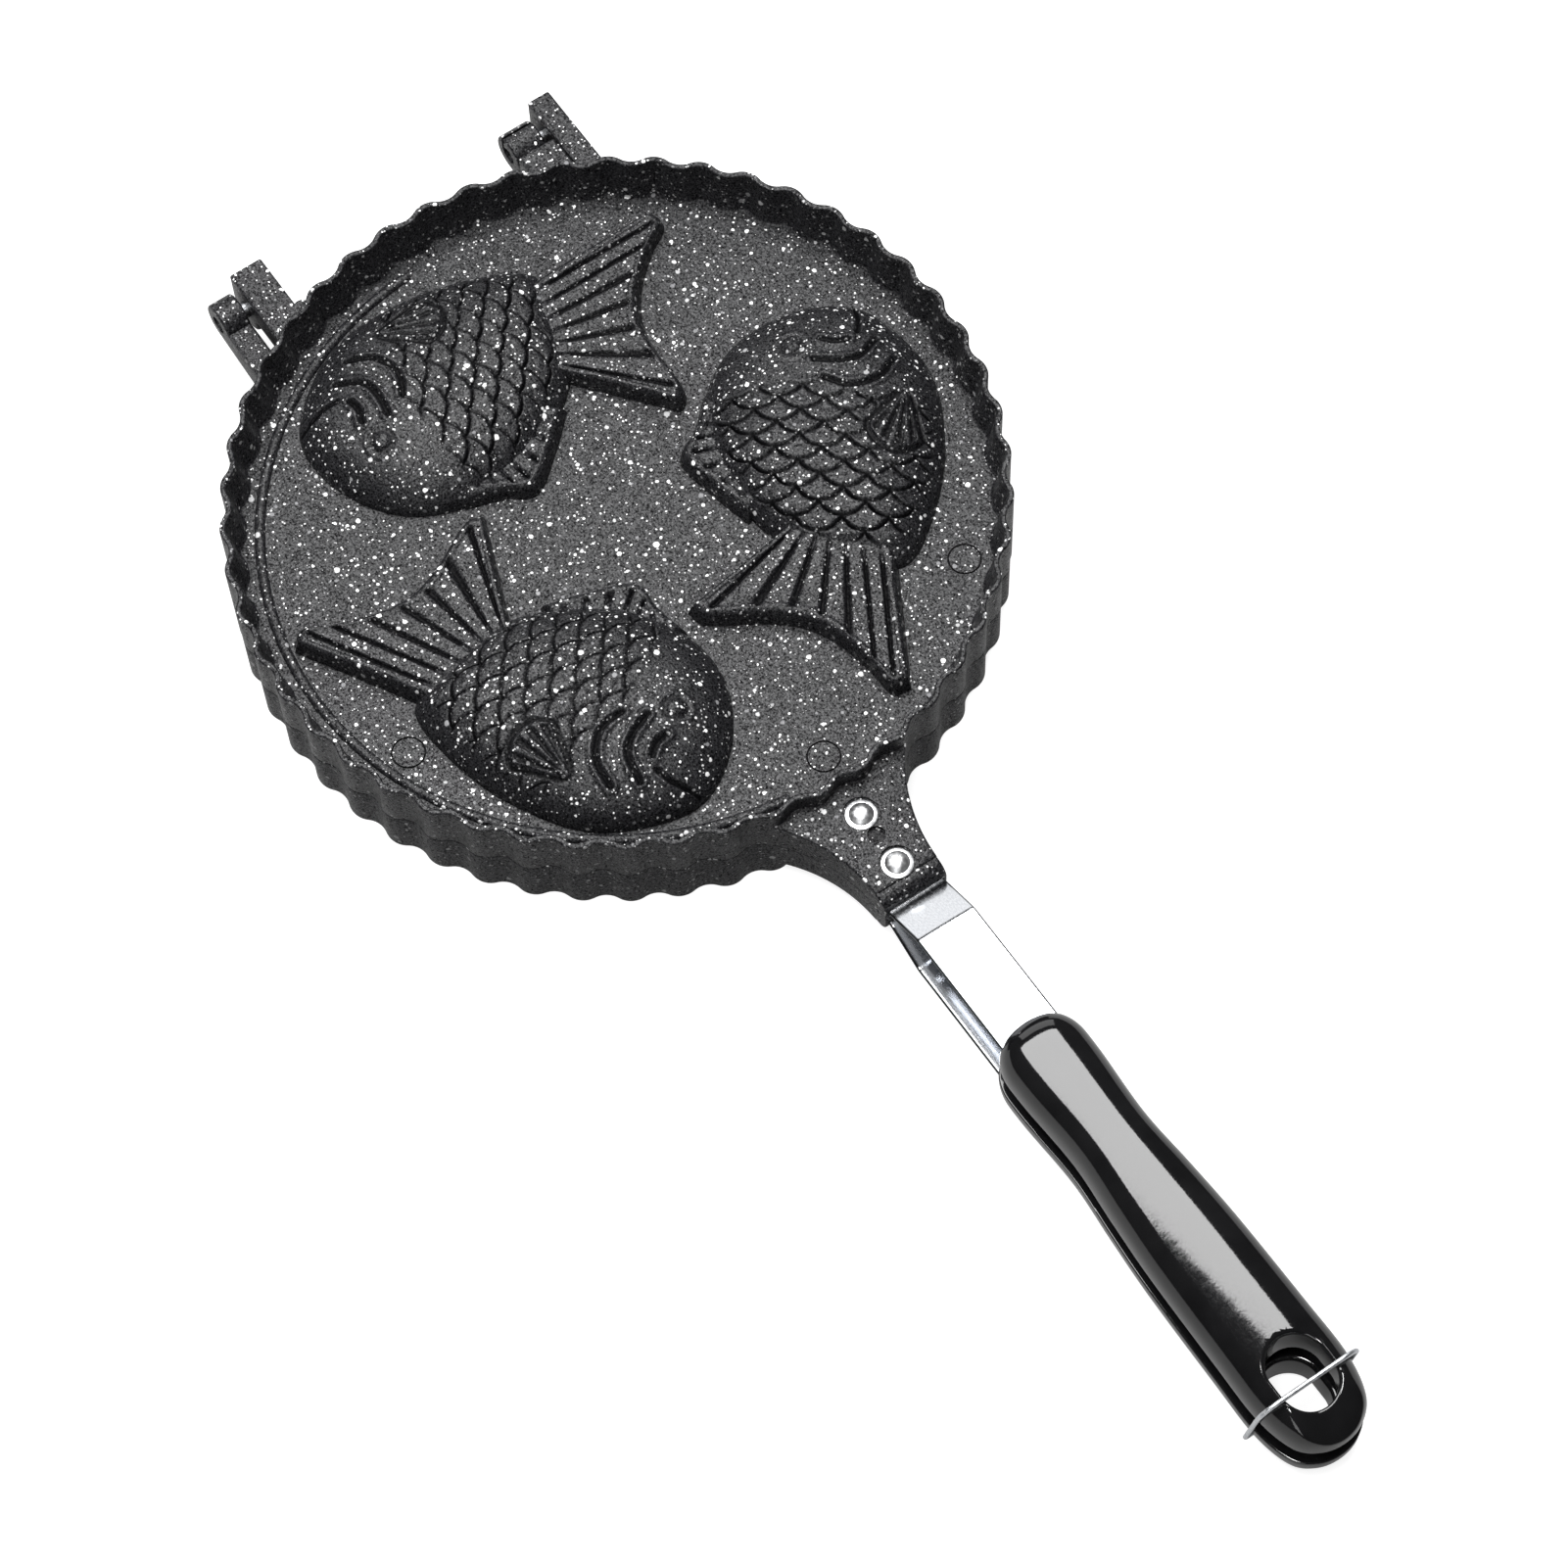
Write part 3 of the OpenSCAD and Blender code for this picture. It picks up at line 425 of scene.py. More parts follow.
def makeRidge():
    s = rim["ridge"]
    start, length = math.radians(s["from"]), math.radians(s["to"] - s["from"])

    def shape(a, b):
        way = b * length * s["radius"]
        end = np.clip(np.minimum(way, length * s["radius"] - way) / s["half"], 0, 1)
        share = np.sqrt(1 - (1 - end) ** 2)
        turn = 2 * math.pi * a
        up = np.where(np.cos(turn) > 0, s["height"], s["sunk"]) * np.cos(turn) * share
        r, t = s["radius"] + s["half"] * np.sin(turn) * share, start + b * length
        return np.stack([r * np.cos(t), r * np.sin(t), place["plate"] + up], 1)

    return newPiece("ridge", closeEnds(bentGrid(*s["grid"], shape)))


# One fish, in its own frame: u runs from tail to head, v to the back. Pairs such as "cut" and "edge"
# are the two places between which a form fades in or out
fish = {
    "radius": 67.6, "direction": -42.8, "turn": 22.0, "count": 3,
    "body": [(39.8, 3), (36, 20), (24, 34.5), (7, 40.2), (-11, 37.2), (-27, 26.5), (-37, 14), (-41, -4),
             (-41, -18), (-26, -24.6), (-5, -27), (18, -22.8), (33.5, -10)],
    "middle": (2.0, 6.0), "rise": 12.8, "power": 2.6, "crowd": 0.7, "grid": (240, 240),
    "tail": {"root": [(-31, 14.5), (-34.5, 3), (-37.5, -15.5)],
             "edge": [(-58.5, 40.5), (-62, 35), (-60.8, 20), (-61.6, 9), (-66, -0.5), (-73.5, -9.5),
                      (-80.5, -16), (-78.5, -21.2)], "rise": 5.4, "from": 0.04, "grid": (150, 70)},
    "fin": {"root": [(6, 34), (-8, 32), (-24, 21)],
            "edge": [(8, 40.8), (-3, 42.8), (-12, 45.6), (-22, 36), (-30.5, 25.5)],
            "rise": 5.0, "from": 0.12, "grid": (90, 32)},
    "tailHollow": {"root": [(-31, 11.5), (-34, 1), (-37, -13)],
                   "edge": [(-53.5, 31.5), (-57.6, 27), (-57.6, 17), (-58.6, 8), (-62.6, -2.5), (-69, -10.5),
                            (-72, -14.5), (-69, -17.6)], "rise": 5.4, "from": 0.04, "grid": (80, 36)},
    "fan": {"width": (30, 66), "draft": 2.6, "power": 2.3, "bands": 8, "groove": (0.03, 0.17), "depth": 1.0,
            "start": 0.08, "tipGap": (2.9, 4.2), "sideGap": (0.06, 0.1), "border": (2.08, 3.1, 3.8, 4.8),
            "borderRise": 0.35, "borderFrom": (0.15, 0.3), "crowd": (0.55, 1.35)},
    "shell": 2.2, "hair": 0.15, "hollowGrid": (110, 110), "hollowRelief": 0.8,
    "sunk": 0.8, "foot": 1.5, "below": -2, "through": (-1, 5),  # overlaps with the plate, and its cutter
    "scale": {"pitch": 3.85, "height": 12.8, "lift": 0.55, "depth": 0.65, "cut": (0.18, 0.58),
              "tailEnd": (-43.5, -41.5), "headEnd": (-1.6, 1.2), "shoulder": (9.2, 0.006, 5),
              "bodyEdge": (0.86, 0.93), "gillGap": (1.7, 2.7)},
    "gills": [[(9.9, 6.9), (8.2, 1.6), (8.8, -3.3), (12.4, -8.6), (18.7, -11.7)],
              [(15.8, 10.2), (15.9, 3.4), (17.9, -2.2), (24.5, -6.3)],
              [(23.1, 8.6), (22.4, 4.8), (23.3, 1.3)]],
    "gillForm": {"cut": (0.4, 1.0), "depth": 0.9, "swell": (0.8, 1.3, 1.6, 2.8), "rise": 0.55},
    "mouth": [(26.4, -1.1), (30.5, -1.3), (34.5, -0.4), (38.3, 0.7)],
    "mouthForm": {"cut": (0.3, 0.85), "depth": 0.8, "swell": (0.7, 1.1, 1.4, 2.6), "rise": 0.4},
    "eye": {"at": (20.8, 16.4), "ball": 2.5, "rise": 1.1, "ring": 3.1, "ringEdge": (0.15, 0.5),
            "ringDepth": 0.15, "ringShade": 0.6, "lid": 4.6, "lidEdge": (0.3, 0.9), "lidRise": 0.3},
    "pectoral": {"apex": (8.9, -15.7), "from": 143.0, "to": 196.0, "length": 19.5, "ribs": 5, "bulge": 0.16,
                 "root": 3, "rounding": 1.5, "edge": (0.0, 0.7), "rise": 1.05, "clear": (-2.2, -1.0),
                 "moat": (-1.9, -1.1, -0.5, 0.1), "moatDepth": 0.45, "moatShade": 0.9,
                 "valley": (0.15, 0.8), "valleyRoot": (2.5, 6), "valleyTip": (0.8, 1.7), "valleyDepth": 0.95,
                 "valleyShade": 0.75},
    "fade": (0.9, 0.97),  # share of the way to the body's outline where all relief fades
    "table": {"low": (-90, -50), "cell": 0.25, "size": 520, "samples": (900, 160)},
}


def distanceTo(line, u, v):  # from a smooth line through points
    path = spline(line, np.linspace(0, 1, 12 * (len(line) - 1) + 1))
    best = np.full(u.shape, 1e9)
    for (u0, v0), (u1, v1) in zip(path, path[1:]):
        du, dv = u1 - u0, v1 - v0
        t = np.clip(((u - u0) * du + (v - v0) * dv) / (du * du + dv * dv), 0, 1)
        best = np.minimum(best, np.hypot(u - u0 - t * du, v - v0 - t * dv))
    return best


def scaleField(u, v):  # distance to the nearest free edge of a scale, and place between it and the next
    p, q = fish["scale"]["pitch"], fish["scale"]["height"]
    r = ((q / 2) ** 2 + p * p) / (2 * p)
    line, inside = np.full(u.shape, 9.0), np.full(u.shape, 9.0)
    column = np.floor(u / p)
    for step in range(-3, 3):
        i = column + step
        shift = (i % 2) * q / 2
        centreV = np.round((v - shift) / q) * q + shift
        centreU = i * p + r
        d = np.hypot(u - centreU, v - centreV)
        here = (u < centreU) & (np.abs(v - centreV) <= q / 2)
        line = np.where(here, np.minimum(line, np.abs(d - r)), line)
        inside = np.where(here & (d < r), np.minimum(inside, r - d), inside)
    return line, inside


# The forms below give a height over the plain body, and the shade painted into their carved lines
def swollenCut(form, distance):  # a cut line between two swells
    carvedShade = 1 - smooth(*form["cut"], distance)
    return form["rise"] * band(form["swell"], distance) - form["depth"] * carvedShade, carvedShade


def eyeForm(u, v):
    eye = fish["eye"]
    off = np.hypot(u - eye["at"][0], v - eye["at"][1])
    ball = np.sqrt(np.clip(1 - (off / eye["ball"]) ** 2, 0, 1))
    ring = 1 - smooth(*eye["ringEdge"], np.abs(off - eye["ring"]))
    lid = 1 - smooth(*eye["lidEdge"], np.abs(off - eye["lid"]))
    return eye["rise"] * ball - eye["ringDepth"] * ring + eye["lidRise"] * lid, eye["ringShade"] * ring


def pectoralForm(u, v):  # a small fan in a moat, and the share of the scales that it pushes away
    fan = fish["pectoral"]
    fu, fv = u - fan["apex"][0], v - fan["apex"][1]
    reach, way = np.hypot(fu, fv), np.degrees(np.arctan2(fv, fu)) % 360
    middle, half = (fan["from"] + fan["to"]) / 2, (fan["to"] - fan["from"]) / 2
    tip = fan["length"] * (1 - fan["bulge"] * ((way - middle) / half) ** 2)
    side = (half - np.abs(way - middle)) * np.pi / 180 * np.maximum(reach, fan["root"])
    within = np.minimum(np.minimum(side, tip - reach), reach + fan["rounding"])  # from the outline inwards
    onFin, moat = smooth(*fan["edge"], within), band(fan["moat"], within)
    rib = 0.5 + 0.5 * np.cos(2 * math.pi * (fan["ribs"] - 1) * (way - fan["from"]) / (2 * half))
    valley = onFin * (1 - smooth(*fan["valley"], rib)) * smooth(*fan["valleyRoot"], reach)
    valley = valley * smooth(*fan["valleyTip"], tip - reach)
    height = fan["rise"] * onFin - fan["moatDepth"] * moat - fan["valleyDepth"] * valley
    carvedShade = np.maximum(fan["moatShade"] * moat, fan["valleyShade"] * valley)
    return height, carvedShade, smooth(*fan["clear"], within)


def fishRelief(u, v, s):  # all forms together, where s is the share of the way to the body's outline; second comes the painted shade
    scale = fish["scale"]
    line, inside = scaleField(u, v)
    finHeight, finShade, nearFin = pectoralForm(u, v)
    eyeHeight, eyeShade = eyeForm(u, v)
    gill = np.minimum.reduce([distanceTo(g, u, v) for g in fish["gills"]])
    gillHeight, gillShade = swollenCut(fish["gillForm"], gill)
    mouthHeight, mouthShade = swollenCut(fish["mouthForm"], distanceTo(fish["mouth"], u, v))
    reach, bend, level = scale["shoulder"]
    beforeHead = 1 - smooth(*scale["headEnd"], u - (reach - bend * (v - level) ** 2))
    region = smooth(*scale["tailEnd"], u) * beforeHead * (1 - smooth(*scale["bodyEdge"], s))
    region = region * (1 - nearFin) * smooth(*scale["gillGap"], gill)
    cutLine = (1 - smooth(*scale["cut"], line)) * region
    height = region * scale["lift"] * np.clip(1 - inside / scale["pitch"], 0, 1) - scale["depth"] * cutLine
    height += finHeight + gillHeight + mouthHeight + eyeHeight
    carvedShade = np.maximum.reduce([cutLine, finShade, gillShade, mouthShade, eyeShade])
    return height * (1 - smooth(*fish["fade"], s)), carvedShade


def bodyOutline(a, inset):
    edge = spline(fish["body"], a, closed=True)
    toMiddle = edge - np.array(fish["middle"])
    return edge - inset * toMiddle / np.linalg.norm(toMiddle, axis=1)[:, None]


def bodyPoints(a, b, inset, base, relief):  # a square grid drawn out to a disc, then to the body's outline
    p, q = 2 * a - 1, 2 * b - 1
    across, upward = p * np.sqrt(1 - q * q / 2), q * np.sqrt(1 - p * p / 2)
    reach = np.minimum(np.hypot(across, upward), 1)
    s = (1 - fish["crowd"]) * reach + fish["crowd"] * np.sin(reach * math.pi / 2)
    edge, middle = bodyOutline(np.arctan2(upward, across) / (2 * math.pi), inset), np.array(fish["middle"])
    point = middle + (edge - middle) * s[:, None]
    z = (fish["rise"] + fish["sunk"]) * np.sqrt(np.clip(1 - s ** fish["power"], 0, 1)) - fish["sunk"]
    return np.column_stack([point, base + z + relief * fishRelief(point[:, 0], point[:, 1], s)[0]])


def fanField(f, a, b):  # plan and height of a tail or fin over the plate, and its carved lines
    form = fish["fan"]
    root, edge = spline(f["root"], a), spline(f["edge"], a)
    fromTip, side = (1 - b) * np.linalg.norm(edge - root, axis=1), np.minimum(a, 1 - a)
    near = np.minimum(fromTip, side * ((1 - b) * form["width"][0] + b * form["width"][1]))
    wall = 1 - (1 - np.clip(near / form["draft"], 0, 1)) ** form["power"]
    phase = np.abs((a * form["bands"] - 0.5) % 1 - 0.5)  # from the middle of a groove
    reach = smooth(f["from"], f["from"] + form["start"], b) * smooth(*form["tipGap"], fromTip)
    groove = (1 - smooth(*form["groove"], phase)) * reach * smooth(*form["sideGap"], side)
    border = form["borderRise"] * band(form["border"], near) * smooth(*form["borderFrom"], b)
    z = (f["rise"] + fish["sunk"]) * wall - fish["sunk"] + border - form["depth"] * groove
    return root + (edge - root) * b[:, None], z, groove


def fanPoints(f, a, b, base):
    sides, tip = fish["fan"]["crowd"]
    plan, z, _ = fanField(f, (1 - sides) * a + sides * smooth(0, 1, a), 1 - (1 - b) ** tip)
    return np.column_stack([plan, base + z])


def fanSolid(name, f, base, floor):
    return newPiece(name, closeBelow(bentGrid(*f["grid"], lambda a, b: fanPoints(f, a, b, base)), floor))


def bodySolid(name, grid, inset, base, relief, floor):
    dome = bentGrid(*grid, lambda a, b: bodyPoints(a, b, inset, base, relief))
    return newPiece(name, closeBelow(dome, floor))


def markFishShade(piece):  # paints shade into the carved lines, by place in the fish's own frame
    u, v = meshPoints(piece.data)[:2]
    middle, t = np.array(fish["middle"]), fish["table"]
    edge = bodyOutline(np.linspace(0, 1, 721), 0) - middle
    angle = np.unwrap(np.arctan2(edge[:, 1], edge[:, 0]))
    order = np.argsort(angle)
    own = np.arctan2(v - middle[1], u - middle[0])
    own = angle.min() + (own - angle.min()) % (2 * math.pi)
    s = np.hypot(u - middle[0], v - middle[1]) / np.interp(own, angle[order], np.hypot(*edge.T)[order])
    carvedShade = np.where(s < 1, fishRelief(u, v, np.minimum(s, 1))[1], 0)
    a, b = np.meshgrid(*[np.linspace(0, 1, n) for n in t["samples"]], indexing="ij")
    i, j = np.clip(((np.column_stack([u, v]) - t["low"]) / t["cell"]).astype(int), 0, t["size"] - 1).T
    # the grooves of the tail and fin get painted shade too
    for key in ("tail", "fin"):
        plan, _, groove = fanField(fish[key], a.ravel(), b.ravel())
        table = np.zeros((t["size"], t["size"]))
        np.maximum.at(table, tuple(((plan - t["low"]) / t["cell"]).astype(int).T), groove)
        carvedShade = np.where(s > 1, np.maximum(carvedShade, table[i, j]), carvedShade)
    mark(piece.data, "paintedGrooveShade", carvedShade)


def makeFish():
    top = place["plate"]
    foot, deep, floor = top - fish["foot"], top - fish["shell"], fish["below"]
    skin = bodySolid("fishShell", fish["grid"], 0.0, top, 1.0, foot)
    join(skin, fanSolid("tail", fish["tail"], top, foot), fanSolid("fin", fish["fin"], top, foot))
    cut(skin, bodySolid("hollow", fish["hollowGrid"], fish["shell"], deep, fish["hollowRelief"], floor),
        fanSolid("tailHollow", fish["tailHollow"], deep, floor))
    markFishShade(skin)
    return skin


def fishPlace(number):
    at = math.radians(fish["direction"])
    return (Matrix.Rotation(2 * math.pi * number / fish["count"], 4, "Z")
            @ Matrix.Translation((fish["radius"] * math.cos(at), fish["radius"] * math.sin(at), 0))
            @ Matrix.Rotation(math.radians(fish["turn"]), 4, "Z"))


def mouldOpening(number):  # through the plate, a hair wider than the shell's own hollow
    f, line = fish["tailHollow"], np.linspace(0, 1, 50)
    bodyEdge = bodyOutline(np.linspace(0, 1, 161)[:-1], fish["shell"] - fish["hair"])
    tailEdge = np.vstack([spline(f["root"], line), spline(f["edge"], line[::-1])])
    body, tail = [newPiece("opening", outlineSolid(edge, *fish["through"])) for edge in (bodyEdge, tailEdge)]
    join(body, tail)
    body.data.transform(fishPlace(number))
    return body


# Ear that the strap is riveted to: sloping top, a groove, a rounded lip, hollow underneath
ear = {
    "from": 104.0, "end": 136.4, "half": 9.8, "sideRadius": 47.0, "root": 10.6, "tip": 8.3, "edge": 0.7,
    "lipZ": 3.9, "lip": 3.8, "groove": 0.7, "grooveEdge": (0.15, 0.12), "wall": 2.3, "hollowFrom": 109.0,
    "rivets": (115.3, 131.7), "seats": (9.48, 8.18), "seatRadius": 5.0, "pocket": (122.2, 2.5, 1.0),
    "cutter": 10, "columns": 14,
}


def earHalf(x, wall=0.0):
    reach = ear["sideRadius"] + wall
    curve = np.sqrt(np.maximum(reach ** 2 - np.minimum(x - ear["end"], 0) ** 2, 0))
    return np.where(x < ear["end"], ear["half"] + ear["sideRadius"] - curve, ear["half"] - wall)


def earTop(x):
    return ear["root"] + (ear["tip"] - ear["root"]) * (x - rim["tip"]) / (ear["end"] - rim["tip"])


def boxRing(a, half, low, high, r):  # a rectangle across the handle with rounded upper corners
    k = np.rint(a * ear["columns"]).astype(int) % ear["columns"]
    turns = np.radians([0, 22.5, 45, 67.5, 90])
    side = [(1, -r * (1 - math.cos(t))) for t in turns]
    level = [(1, -r * (1 - math.sin(t))) for t in turns]
    side = [(1, 0)] + side + [(0, 0)] + [(-s, -o) for s, o in side[::-1]] + [(-1, 0), (0, 0)]
    level = [(0, 0)] + level + [(1, 0)] + level[::-1] + [(0, 0), (0, 0)]
    side, level = np.array(side, float)[k], np.array(level, float)[k]
    return side[:, 0] * half + side[:, 1], low + (high - low) * level[:, 0] + level[:, 1]


def makeEar():
    width, (inwards, down) = ear["groove"], ear["grooveEdge"]
    rows = [(x, earTop(x)) for x in np.linspace(ear["from"], ear["end"] - 2 * width, 20)]
    last, floor = earTop(ear["end"]), ear["lipZ"] + ear["lip"]
    rows += [(ear["end"] - width - inwards, last), (ear["end"] - width, last - down),
             (ear["end"] - width, floor), (ear["end"], floor)]
    rows += arcPoints(ear["end"], ear["lipZ"], ear["lip"], 84, 0, 15)

    def ring(a, row):
        y, z = boxRing(a, earHalf(row[:, 0]), place["parting"], row[:, 1], ear["edge"])
        return np.column_stack([row[:, 0], y, z])

    body = newPiece("ear", stacked(ear["columns"], rows, ring))
    x = np.linspace(ear["hollowFrom"], ear["end"] + ear["lip"] + 1, 24)
    half = earHalf(x, ear["wall"])
    plan = list(zip(x, -half)) + list(zip(x[::-1], half[::-1]))
    return body, newPiece("earHollow", outlineSolid(plan, -1, ear["lipZ"]))


def earCuts():
    x, r, depth = ear["pocket"]
    floors = [(x, z, ear["seatRadius"]) for x, z in zip(ear["rivets"], ear["seats"])]
    floors.append((x, earTop(x) - depth, r))
    return [newPiece("seat", drum(r, (x, 0, z + ear["cutter"] / 2), ear["cutter"])) for x, z, r in floors]


# Hinge: blocks on the upper half, knuckles on the lower half, both bored for the pins
hinge = {
    "axis": -116.5, "pin": 2.5, "blockRadius": 6.9, "blockTop": 8.6, "edge": 0.7,
    "knuckleRadius": 6.0, "lugTop": 1.6, "lugDeep": 11.48, "wallRadius": 104.9, "rooted": 4.0,
    "blocks": [(-48.0, -37.7), (51.5, 58.7)], "knuckles": [(-57.0, -49.5, -96.03), (40.0, 50.0, -110.5)],
    "boss": (-102.96, -36.7, 2.5), "bossEdge": 0.5, "step": ((-109.9, 39.5, 0.15), (-86, 51.8, 7.4)),
    "blockBore": (0.05, 0.7),   # play round the pin, and wall left at its end
    "knuckleBore": (0.2, 2.0),  # play round the pin, and length to spare
    "slot": (0.5, 1.0, 7.0),    # play beside the pin, length to spare and height
}


def sideways(points, low, high, bevel):  # an outline in X and Z, extruded along Y
    bm = outlineSolid(points, -high, -low, bevel)
    bmesh.ops.transform(bm, matrix=Matrix.Rotation(math.pi / 2, 4, "X"), verts=bm.verts)
    return bm


def rootOf(low, high):  # where a part between two places along the hinge ends, inside the rim
    return hinge["rooted"] - math.sqrt(hinge["wallRadius"] ** 2 - max(abs(low), abs(high)) ** 2)


def attach(casting, parts):  # joined, cut back to the rim's wall and joined to it
    whole = join(*parts)
    cut(whole, newPiece("inside", drum(hinge["wallRadius"], (0, 0, 0), 60, count=180)))
    join(casting, whole)


def bore(casting, middle, radius, length):
    cut(casting, newPiece("bore", drum(radius, (hinge["axis"], middle, 0), length, "Y")))


def addBlocks(casting):
    h = hinge
    parts = []
    for low, high in h["blocks"]:
        root = rootOf(low, high)
        outline = [(root, h["blockTop"]), (root, place["parting"])]
        outline += arcPoints(h["axis"], 0, h["blockRadius"], 0, -180, 25)
        outline += [(h["axis"] - h["blockRadius"], h["blockTop"])]
        parts.append(newPiece("block", sideways(outline, low, high, h["edge"])))
    parts.append(newPiece("step", block(*h["step"], h["edge"])))
    x, y, r = h["boss"]
    low, high = place["parting"], h["blockTop"]
    parts.append(newPiece("boss", drum(r, (x, y, (low + high) / 2), high - low, bevel=h["bossEdge"])))
    attach(casting, parts)
    play, wall = h["blockBore"]
    for low, high in h["blocks"]:
        bore(casting, (low + high) / 2 - wall, h["pin"] + play, high - low)


def addKnuckles(casting):  # drawn upside down, as the lower half is turned over
    h = hinge
    parts = []
    for low, high, top in h["knuckles"]:
        root = rootOf(low, high)
        lug = [(root, h["lugDeep"]), (root, place["parting"]), (top, place["parting"]), (top, -h["lugTop"]),
               (h["axis"], -h["lugTop"]), (h["axis"], h["knuckleRadius"])]
        middle = (h["axis"], (low + high) / 2, 0)
        knuckle = newPiece("knuckle", drum(h["knuckleRadius"], middle, high - low, "Y", bevel=h["edge"]))
        parts.append(join(knuckle, newPiece("lug", sideways(lug, low, high, h["edge"]))))
    attach(casting, parts)
    play, spare = h["knuckleBore"]
    for low, high, _ in h["knuckles"]:
        bore(casting, (low + high) / 2, h["pin"] + play, high - low + spare)
    low, high, _ = h["knuckles"][1]
    play, spare, tall = h["slot"]
    cut(casting, newPiece("slot", block((h["axis"] - h["pin"] - play, low - spare, -tall),
                                        (h["axis"] - h["pin"] + play, high + spare, 0))))


def makeCasting():
    body = newPiece("casting", stacked(rim["columns"], rim["levels"], rimRing))
    earBody, earHollow = makeEar()
    join(body, makeRidge(), earBody)
    cut(body, earHollow, *earCuts())
    e = rim["ejector"]
    low, high, r = place["plate"] - e["depth"], e["top"], e["radius"]
    section = [(r - e["floor"], low), (r + e["floor"], low), (r + e["open"], high), (r - e["open"], high)]
    for x, y in rim["ejectors"]:
        ring = lathe(section + section[:1], 48)
        bmesh.ops.translate(ring, vec=(x, y, 0), verts=ring.verts)
        cut(body, newPiece("ejector", ring))
    cut(body, *[mouldOpening(number) for number in range(fish["count"])])
    return body


casting = makeCasting()
lowerCasting = copyPiece(casting, "lowerCasting", Matrix())
addBlocks(casting)
addKnuckles(lowerCasting)
print("castings made:", len(casting.data.polygons), len(lowerCasting.data.polygons))
firstFish = makeFish()
print("fish made:", len(firstFish.data.polygons))


def markCastingShade(piece):  # paints shade into the ejector pins' circles and onto the floor of the ear's pocket
    x, y, z = meshPoints(piece.data)
    e, near = rim["ejector"], 0.05
    off = np.minimum.reduce([np.abs(np.hypot(x - a, y - b) - e["radius"]) for a, b in rim["ejectors"]])
    below = (z > place["plate"] - e["depth"] - near) & (z < place["plate"] - near)
    sunk = np.where((off < e["open"]) & below, 1.0, 0.0)
    middle, radius, depth = ear["pocket"]
    sunk[(np.hypot(x - middle, y) < radius + near) & (np.abs(z - earTop(middle) + depth) < near)] = 0.6
    mark(piece.data, "paintedGrooveShade", sunk)


def finishCasting(piece, matrix):  # level faces keep their own normal beside the fillets
    markCastingShade(piece)
    settle(piece, matrix, stoneCoat, 35)
    normals = np.empty(len(piece.data.polygons) * 3)
    piece.data.polygons.foreach_get("normal", normals)
    piece.data.polygons.foreach_set("use_smooth", np.abs(normals.reshape(-1, 3)[:, 2]) <= 0.99999)


halves = {"upper": ("lid", casting, upperPlace), "lower": ("base", lowerCasting, lowerPlace)}
for half, (body, whole, matrix) in halves.items():
    whole.name = half + "Casting"
    finishCasting(whole, matrix)
    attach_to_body(whole, body)
    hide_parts(half + "_pan")
    for number in range(fish["count"]):
        shell = copyPiece(firstFish, "%sFish%d" % (half, number + 1), fishPlace(number))
        settle(shell, matrix, stoneCoat, 75)
        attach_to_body(shell, body)
bpy.data.objects.remove(firstFish)
print("pans placed")


# Bent strap of one half: narrow in the ear, wide in the open, narrow in the grip
strap = {
    "thick": 1.5, "edge": 0.7, "bend": 5.0,
    "line": [(110.3, 2.4), (141.4, 2.4), (153.9, 8.1), (284.8, 8.1)],
    "halves": [(110.3, 7.3), (140.4, 7.3), (140.41, 8.9), (196.2, 8.9), (196.21, 6.0), (284.8, 6.0)],
    "stops": (112, 282, 60),  # from, to and number of the sections between the bends
    "edgeShadeReach": 0.1,              # painted shade of the edges reaches this far round their corners
}


def strapLine():  # the strap's lower side, with its bends rounded
    points, bend = strap["line"], strap["bend"]
    out = [points[0]]
    for (x0, z0), (x, z), (x1, z1) in zip(points, points[1:], points[2:]):
        before, after = math.atan2(z - z0, x - x0), math.atan2(z1 - z, x1 - x)
        lead, r = bend * math.tan(abs(after - before) / 2), math.copysign(bend, after - before)
        middleX = x - lead * math.cos(before) - r * math.sin(before)
        middleZ = z - lead * math.sin(before) + r * math.cos(before)
        turns = np.linspace(before, after, 14)
        out += [(middleX + r * math.sin(t), middleZ - r * math.cos(t)) for t in turns]
    return out + [points[-1]]


def makeStrap(name):
    line, near = strapLine(), 0.05
    rows = []
    for x in sorted({*[x for x, z in line + strap["halves"]], *np.linspace(*strap["stops"])}):
        slope = (along(x + near, line) - along(x - near, line)) / (2 * near)
        rows.append((x, along(x, line), math.atan(slope), along(x, strap["halves"])))
    e, t = strap["edge"], strap["thick"]
    section = []
    for n, (side, level) in enumerate([(1, t - e), (-1, t - e), (-1, e), (1, e)]):  # the four corners
        for c in np.radians([0, 30, 60, 90]) + n * math.pi / 2:
            section.append((side, e * math.cos(c) - side * e, level + e * math.sin(c)))
    section = np.array(section + section[:1], float)

    def ring(a, row):
        side, out, up = section[np.rint(a * (len(section) - 1)).astype(int)].T
        x, z, slope, half = row.T
        return np.column_stack([x - up * np.sin(slope), side * half + out, z + up * np.cos(slope)])

    piece = newPiece(name, stacked(len(section) - 1, rows, ring))
    x, y = meshPoints(piece.data)[:2]
    # painted shade along the strap's rounded edges
    mark(piece.data, "paintedEdgeShade", np.abs(y) > along(x, strap["halves"]) - e + strap["edgeShadeReach"])
    return piece


# Bail of spring wire: toes in the lower grip, legs up its sides, a bar over the upper grip
wire = {"radius": 0.65, "pivot": (304.3, -12.0), "bar": (308.1, 15.85), "leg": 15.25, "bite": 2.9, "toe": 1.4,
        "shoulder": 5.5}

